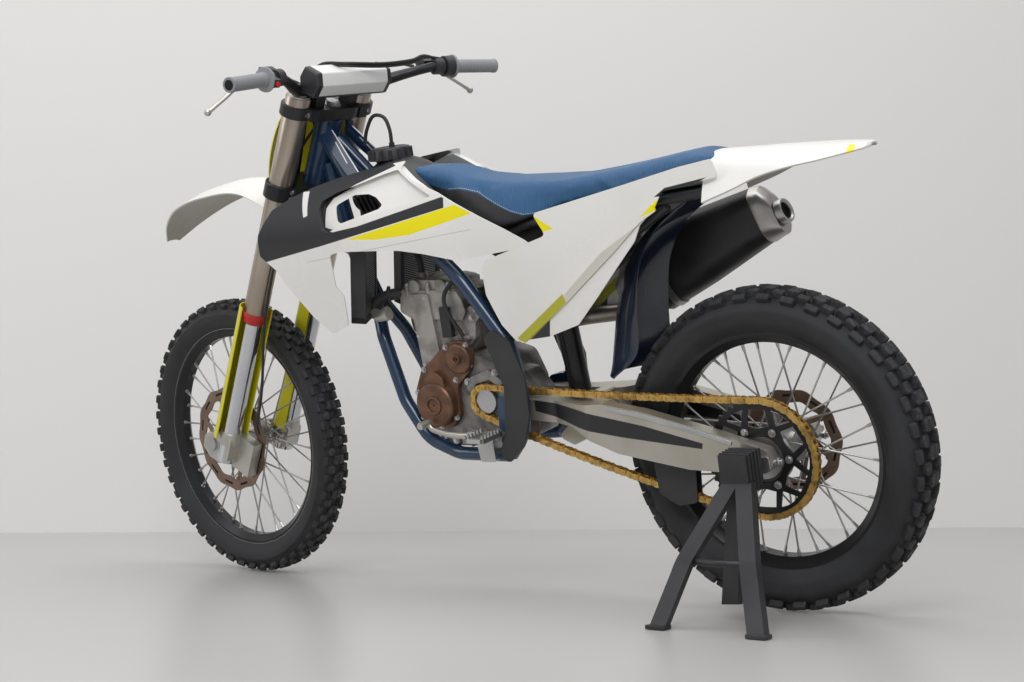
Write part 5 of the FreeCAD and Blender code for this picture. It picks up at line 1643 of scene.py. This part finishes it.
def seatMaterial():
    # blue vinyl with fine ribs across, black grained side panels and pale stitching along the seam
    material = finish("seatVinyl", (0.016, 0.085, 0.20), (0.024, 0.105, 0.235), rough=(0.42, 0.56), driftScale=5,
                      grain=0.0)
    tree = material.node_tree
    place = placeIn(material, bikePlace)
    along = axisOf(material, place, "X")
    line = seatForm["seam"]
    runs = list(zip(line, line[1:]))
    bottom, overlap = 800, 1.5
    below = []
    for (x, z), (endX, endZ) in runs:
        x, endX = x + overlap, endX - overlap
        below.append(((x, z), (endX, endZ), (endX, bottom), (x, bottom)))
    front, back = line[0][0] - 2, line[-1][0]
    below += [((front, line[0][1]), (front, bottom), (800, bottom), (800, 953)),
              (line[-1], (154, 916), (154, bottom), (back, bottom))]
    panel = anyOf(material, [zone(material, place, corners, soft=0.5) for corners in below])
    thread = anyOf(material, [lineZone(material, place, start, end, 2.3, 3.2) for start, end in runs])
    dash = fade(material, reckon(material, "FRACT", reckon(material, "MULTIPLY", along, 1 / seatForm["stitch"])),
                0.68, 0.62)
    paint(material, panel, colour=(0.016, 0.016, 0.018), rough=0.6)
    paint(material, reckon(material, "MULTIPLY", thread, dash), colour=(0.55, 0.56, 0.58), rough=0.6)
    # ribs: a wave along the seat, only on the blue
    wave = reckon(material, "SINE", reckon(material, "MULTIPLY", along, 2 * math.pi / seatForm["ribs"]))
    bump = addNode(tree, "Bump", {"Height": without(material, wave, panel), "Strength": 0.55, "Distance": 0.0009})
    tree.links.new(bump.outputs["Normal"], tree.nodes["Principled BSDF"].inputs["Normal"])
    return material


def addSeat():
    points, faces = seatMesh()
    middle = points.mean(axis=0)
    points = (points - middle) * seatForm["start"] + middle
    seat = rawObject("seatPad", (inRow(points, bikeToRow), faces))
    remesh = seat.modifiers.new("even", "REMESH")
    remesh.mode = "VOXEL"
    remesh.voxel_size = seatForm["voxel"]
    applied(seat)
    inflate(seat, seatForm)
    even = seat.modifiers.new("soften", "SMOOTH")
    even.factor = 0.5
    even.iterations = 6
    applied(seat)
    seat.data.shade_smooth()
    finer = seat.modifiers.new("round", "SUBSURF")
    finer.levels = finer.render_levels = 1
    seat.data.materials.append(seatMaterial())
    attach(seat, "chassis")
    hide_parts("seat")


addSeat()
print("seat made")


# fenders: sheets over stations of x, crown height, half width and edge drop

fenders = {
    "front": ((1700, 842, 22, 3), (1640, 893, 60, 10), (1556, 940, 88, 18), (1450, 971, 92, 26), (1316, 978, 82, 30),
              (1200, 912, 60, 28), (1150, 860, 58, 24), (1096, 806, 56, 20)),
    "rear": ((52, 961, 100, 92), (-16, 960, 100, 69), (-73, 960, 95, 48), (-132, 959, 90, 34), (-206, 957, 80, 22),
             (-268, 954, 36, 10), (-281, 952, 16, 5)),
}
fenderGrid = (70, 33)  # stations and places across

def fenderParts(stations, power, thick=3.0):
    # z = crown - drop * |share| ** power, with a low crease along each side
    rows, cols = fenderGrid
    path = smoothPath(stations, rows)
    share = np.linspace(-1, 1, cols)
    x = np.broadcast_to(path[:, :1], (rows, cols))
    y = path[:, 2:3] * share
    crease = 0.9 * np.exp(-((np.abs(share) - 0.55) / 0.05) ** 2)
    z = path[:, 1:2] - path[:, 3:4] * np.abs(share) ** power + crease
    outer = np.stack((x, y, z), axis=-1)
    inner = np.stack((x, y * (1 - thick / np.maximum(path[:, 2:3], 12)), z - thick), axis=-1)
    return [(np.concatenate((outer.reshape(-1, 3), inner.reshape(-1, 3))), shellFaces(rows, cols))]


frontFender = addPiece("frontFender", fenderParts(fenders["front"], 2), frontToRow, finishes["white_plastic"],
                       "steering", angle=40)
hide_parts("front_fender")
# the lower faces of both fenders are beige-grey
underside = finish("fenderBelow", (0.42, 0.40, 0.36), (0.36, 0.34, 0.30), rough=(0.4, 0.55))


def paintBelow(thing):
    # the inner grid's faces come second
    thing.data.materials.append(underside)
    below = np.zeros(len(thing.data.polygons), dtype=np.int32)
    count = (fenderGrid[0] - 1) * (fenderGrid[1] - 1)
    below[count:2 * count] = 1
    thing.data.polygons.foreach_set("material_index", below)


paintBelow(frontFender)
tailWhite = panelWhite("tailPlastic", (0.22, 0.36), 0.15)
tailPlace = placeIn(tailWhite, bikePlace)
paint(tailWhite, zone(tailWhite, tailPlace, ((-245, 30), (-258, 30), (-262, 78), (-249, 78)), axes=(0, 1)),
      colour=decalYellow, rough=0.3)
rearFender = addPiece("rearFender", fenderParts(fenders["rear"], 3), bikeToRow, tailWhite, "chassis", angle=40)
paintBelow(rearFender)
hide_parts("rear_fender")
print("fenders made")


# radiators: a finned core in a black surround with upright louvres

radiator = {"tall": 214.0, "place": (958.0, 54.0, 764.0), "turn": 24.0, "tilt": -10.0}


def radiatorParts():
    low = -radiator["tall"] / 2
    tilt, turn = (math.radians(radiator[name]) for name in ("tilt", "turn"))
    spin = Matrix.Rotation(tilt, 3, "Y") @ Matrix.Rotation(turn, 3, "Z")
    surround = [boxMesh((-16, -4, low), (18, 6, -low)), boxMesh((-16, 90, low), (18, 100, -low)),
                boxMesh((-16, -4, low), (18, 100, low + 14)), boxMesh((-16, -4, -low - 14), (18, 100, -low))]
    core = [boxMesh((-14, 4, low + 4), (6, 92, -low - 4))]
    blades = []
    for index in range(9):
        blade = boxMesh((0, -1.2, low + 13), (16, 1.2, -low - 13))
        blades += placedParts([blade], Matrix.Rotation(math.radians(-30), 3, "Z"), (5, 10 + 9.5 * index, 0))
    return [placedParts(parts, spin, radiator["place"]) for parts in (core, surround, blades)]


def finMaterial():
    # aluminium fins: rows of thin lines over dark gaps, the gaps being painted shade between the fins
    material = finish("radiatorFins", (0.30, 0.30, 0.30), (0.2, 0.2, 0.2), metallic=0.8, rough=(0.35, 0.5),
                      grain=0.02)
    place = placeIn(material, bikePlace)
    part = reckon(material, "FRACT", reckon(material, "MULTIPLY", axisOf(material, place, "Z"), 1 / 4.2))
    # painted shade: near-black bands for the gaps between the fins
    paint(material, fade(material, part, 0.45, 0.55), colour=(0.01, 0.01, 0.01), metallic=0.0, rough=0.8)
    return material


core, surround, blades = radiatorParts()
fins = finMaterial()
bladeGrey = finish("louvreGrey", (0.16, 0.16, 0.165), (0.11, 0.11, 0.115), rough=(0.35, 0.5), grain=0.02)
for side, flip in (("left", list), ("right", mirroredParts)):
    thing = addPiece("radiatorCore_" + side, flip(core), bikeToRow, fins, "chassis")
    frameThing = addPiece("radiatorLouvres_" + side, flip(surround), bikeToRow, finishes["black_plastic"], "chassis",
                          bevel=0.6)
    addPiece("radiatorBlades_" + side, flip(blades), bikeToRow, bladeGrey, "chassis")
    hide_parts("radiator_" + side)
    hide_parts("radiator_" + side)
hoseEnds = [hose([(938, 84, 662), (916, 92, 658), (900, 92, 662)], 12, 13, 20),
            rodMesh((902, 92, 661), (892, 91, 664), 16, sides=24)]
addPiece("hoseEnds", bothSides(hoseEnds), bikeToRow, finishes["alloy"], "chassis")


# tank cap with its vent hose

def capTop():
    points, faces = turnedMesh([(0, 2), (0, 49), (20, 47), (25, 44), (27, 36), (25, 30), (25, 2)], (0, 0, 0), 64)
    turned = [(points[:, [0, 2, 1]] + (892, 0, 1000), faces)]
    for index in range(14):
        turn = 2 * math.pi * index / 14
        place = np.array((892 + 47.5 * math.cos(turn), 47.5 * math.sin(turn), 1001))
        turned.append(rodMesh(place, place + (0, 0, 21), 5.2, 4.6, sides=10))
    turned.append(rodMesh((884, 0, 1022), (884, 0, 1036), 6.5))
    turned.append(hose([(884, 0, 1032), (884, 0, 1066), (896, 0, 1094), (926, 0, 1098), (950, 0, 1068),
                        (962, 0, 1036)], 50, 4.2, 12))
    return turned


cap = addPiece("tankCap", capTop(), bikeToRow, finishes["black_plastic"], "chassis", angle=30)
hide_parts("tank_cap")


# swingarm: its bright rail, adjuster and the dark strip along its side

armFinish = finish("armAlloy", (0.52, 0.49, 0.43), (0.43, 0.40, 0.34), metallic=0.8, rough=(0.32, 0.46), driftScale=7,
                   grain=0.05)
armPlace = placeIn(armFinish, bikePlace)
strip = zone(armFinish, armPlace, ((533, 462), (403, 447), (244, 417), (107, 382), (110, 370), (300, 392), (410, 408),
                                   (533, 438)))
outside = fade(armFinish, reckon(armFinish, "ABSOLUTE", axisOf(armFinish, armPlace, "Y")), 60, 62)
paint(armFinish, reckon(armFinish, "MULTIPLY", strip, outside), colour=(0.014, 0.014, 0.016), metallic=0.0,
      rough=0.35)
for place in nodes["swingarm"].material_slots:
    place.material = armFinish
dressed.add("swingarm")


def armParts():
    rail = slabMesh(rounded(((330, 458), (250, 444), (112, 409), (40, 388), (40, 379), (114, 400), (252, 435),
                             (330, 449)), 3), 116.5, 121)
    block = slabMesh(rounded(((-44, 331), (32, 329), (32, 355), (-42, 359)), 5), 116.5, 125)
    screw = [rodMesh((-34, 104, 343), (-62, 104, 343), 6, sides=12),
             rodMesh((-50, 104, 343), (-56, 104, 343), 9.5, sides=6)]
    return bothSides([rail, block] + screw)


addPiece("swingarmRails", armParts(), bikeToRow, finishes["steel"], "chassis", bevel=0.8)


# inner guard: a glossy sheet folded back at both sides

def innerGuardParts():
    # x = station - fold * share ** 2, over rows of height, x and fold
    rows = smoothPath(((868, 130, 20), (812, 232, 40), (740, 300, 60), (650, 338, 80), (560, 362, 90),
                       (505, 372, 34)), 40)
    share = np.linspace(-1, 1, 25)
    x = rows[:, 1:2] - rows[:, 2:3] * share ** 2
    y = np.broadcast_to(64 * share, x.shape)
    z = np.broadcast_to(rows[:, :1], x.shape)
    outer = np.stack((x, y, z), axis=-1)
    inner = outer - (3, 0, 2)
    return [(np.concatenate((outer.reshape(-1, 3), inner.reshape(-1, 3))), shellFaces(*x.shape))]


guardSheet = addPiece("innerGuard", innerGuardParts(), bikeToRow, finishes["dark_gloss"], "chassis", angle=40)
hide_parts("inner_guard")


# stand: ribs on its block, feet and a band, all round what the solid has

def standParts():
    end = np.array(bikeToRow @ Vector((0, 134.3, 341)))
    line = np.array((bikeToRow.to_3x3() @ Vector((0, 1, 0))))
    ribs = [boxMesh((-33.5, 9 + 13 * index, -33.5), (33.5, 14 + 13 * index, 41.5)) for index in range(4)]
    parts = placedParts(ribs, Matrix.Rotation(math.atan2(line[2], line[1]), 3, "X"), end)
    middle = end + line * 32
    for reachX, reachY in ((84, 178), (-140, 190)):
        foot = middle + (reachX, reachY, 0)
        parts.append(boxMesh((foot[0] - 21, foot[1] - 15, 0.6), (foot[0] + 21, foot[1] + 15, 9)))
    a = middle + (84 * 0.6, 178 * 0.62, 0)
    b = middle + (-140 * 0.6, 190 * 0.62, 0)
    a[2] = b[2] = 128
    parts.append(hose([a, (a + b) / 2 + (0, 20, 0), b], 20, 7, 12))
    return parts


addPiece("standTrim", standParts(), Matrix.Identity(4), finishes["black_plastic"], "chassis", bevel=1.5)
print("trim made")


# head gusset: a plate along each spar with two painted highlight lines

gussetBlue = finish("gussetBlue", (0.008, 0.030, 0.075), (0.012, 0.038, 0.088), rough=(0.2, 0.34), grain=0.02,
                    coat=0.35)
gussetPlace = placeIn(gussetBlue, bikePlace)
# painted highlights: two thin pale lines along the spar's edges, where the glossy paint catches the light
for start, end in (((1019, 1080), (937, 980)), ((1008, 1052), (972, 1003))):
    paint(gussetBlue, lineZone(gussetBlue, gussetPlace, start, end, -1.6, 1.6), colour=(0.75, 0.75, 0.75), rough=0.35)


def gussetParts():
    corners = np.array(((1034, 30, 1096), (1002, 40, 1058), (928, 64, 968), (958, 66, 960), (1016, 48, 1022),
                        (1042, 36, 1060)), dtype=float)
    return bothSides([(np.concatenate((corners, corners + (0, 4, 1))), tubeFaces(2, len(corners)))])


addPiece("headGusset", gussetParts(), bikeToRow, gussetBlue, "chassis", bevel=0.8)
print("gusset made")


# dark louvres behind the windows of the shrouds

def windowLouvres():
    # nine upright slats, just inside the panel, in front of a thin dark back
    parts = [boxMesh((815, 76, 874), (940, 78, 946))]
    slat = [boxMesh((-1.4, 78, -33), (1.4, 86, 33))]
    for index in range(9):
        parts += placedParts(slat, Matrix.Rotation(math.radians(24), 3, "Y"), (822 + 14 * index, 0, 909))
    return bothSides(parts)


addPiece("shroudLouvres", windowLouvres(), bikeToRow, finishes["black_plastic"], "chassis")
print("louvres made")


# the other solids keep their shape and get the finish of their slot

for row in frame["record"]["subparts"]:
    if row["node"] not in dressed:
        for place in nodes[row["node"]].material_slots:
            place.material = finishes[row["material_slot"]]
print("finishes set on", len(nodes), "nodes")
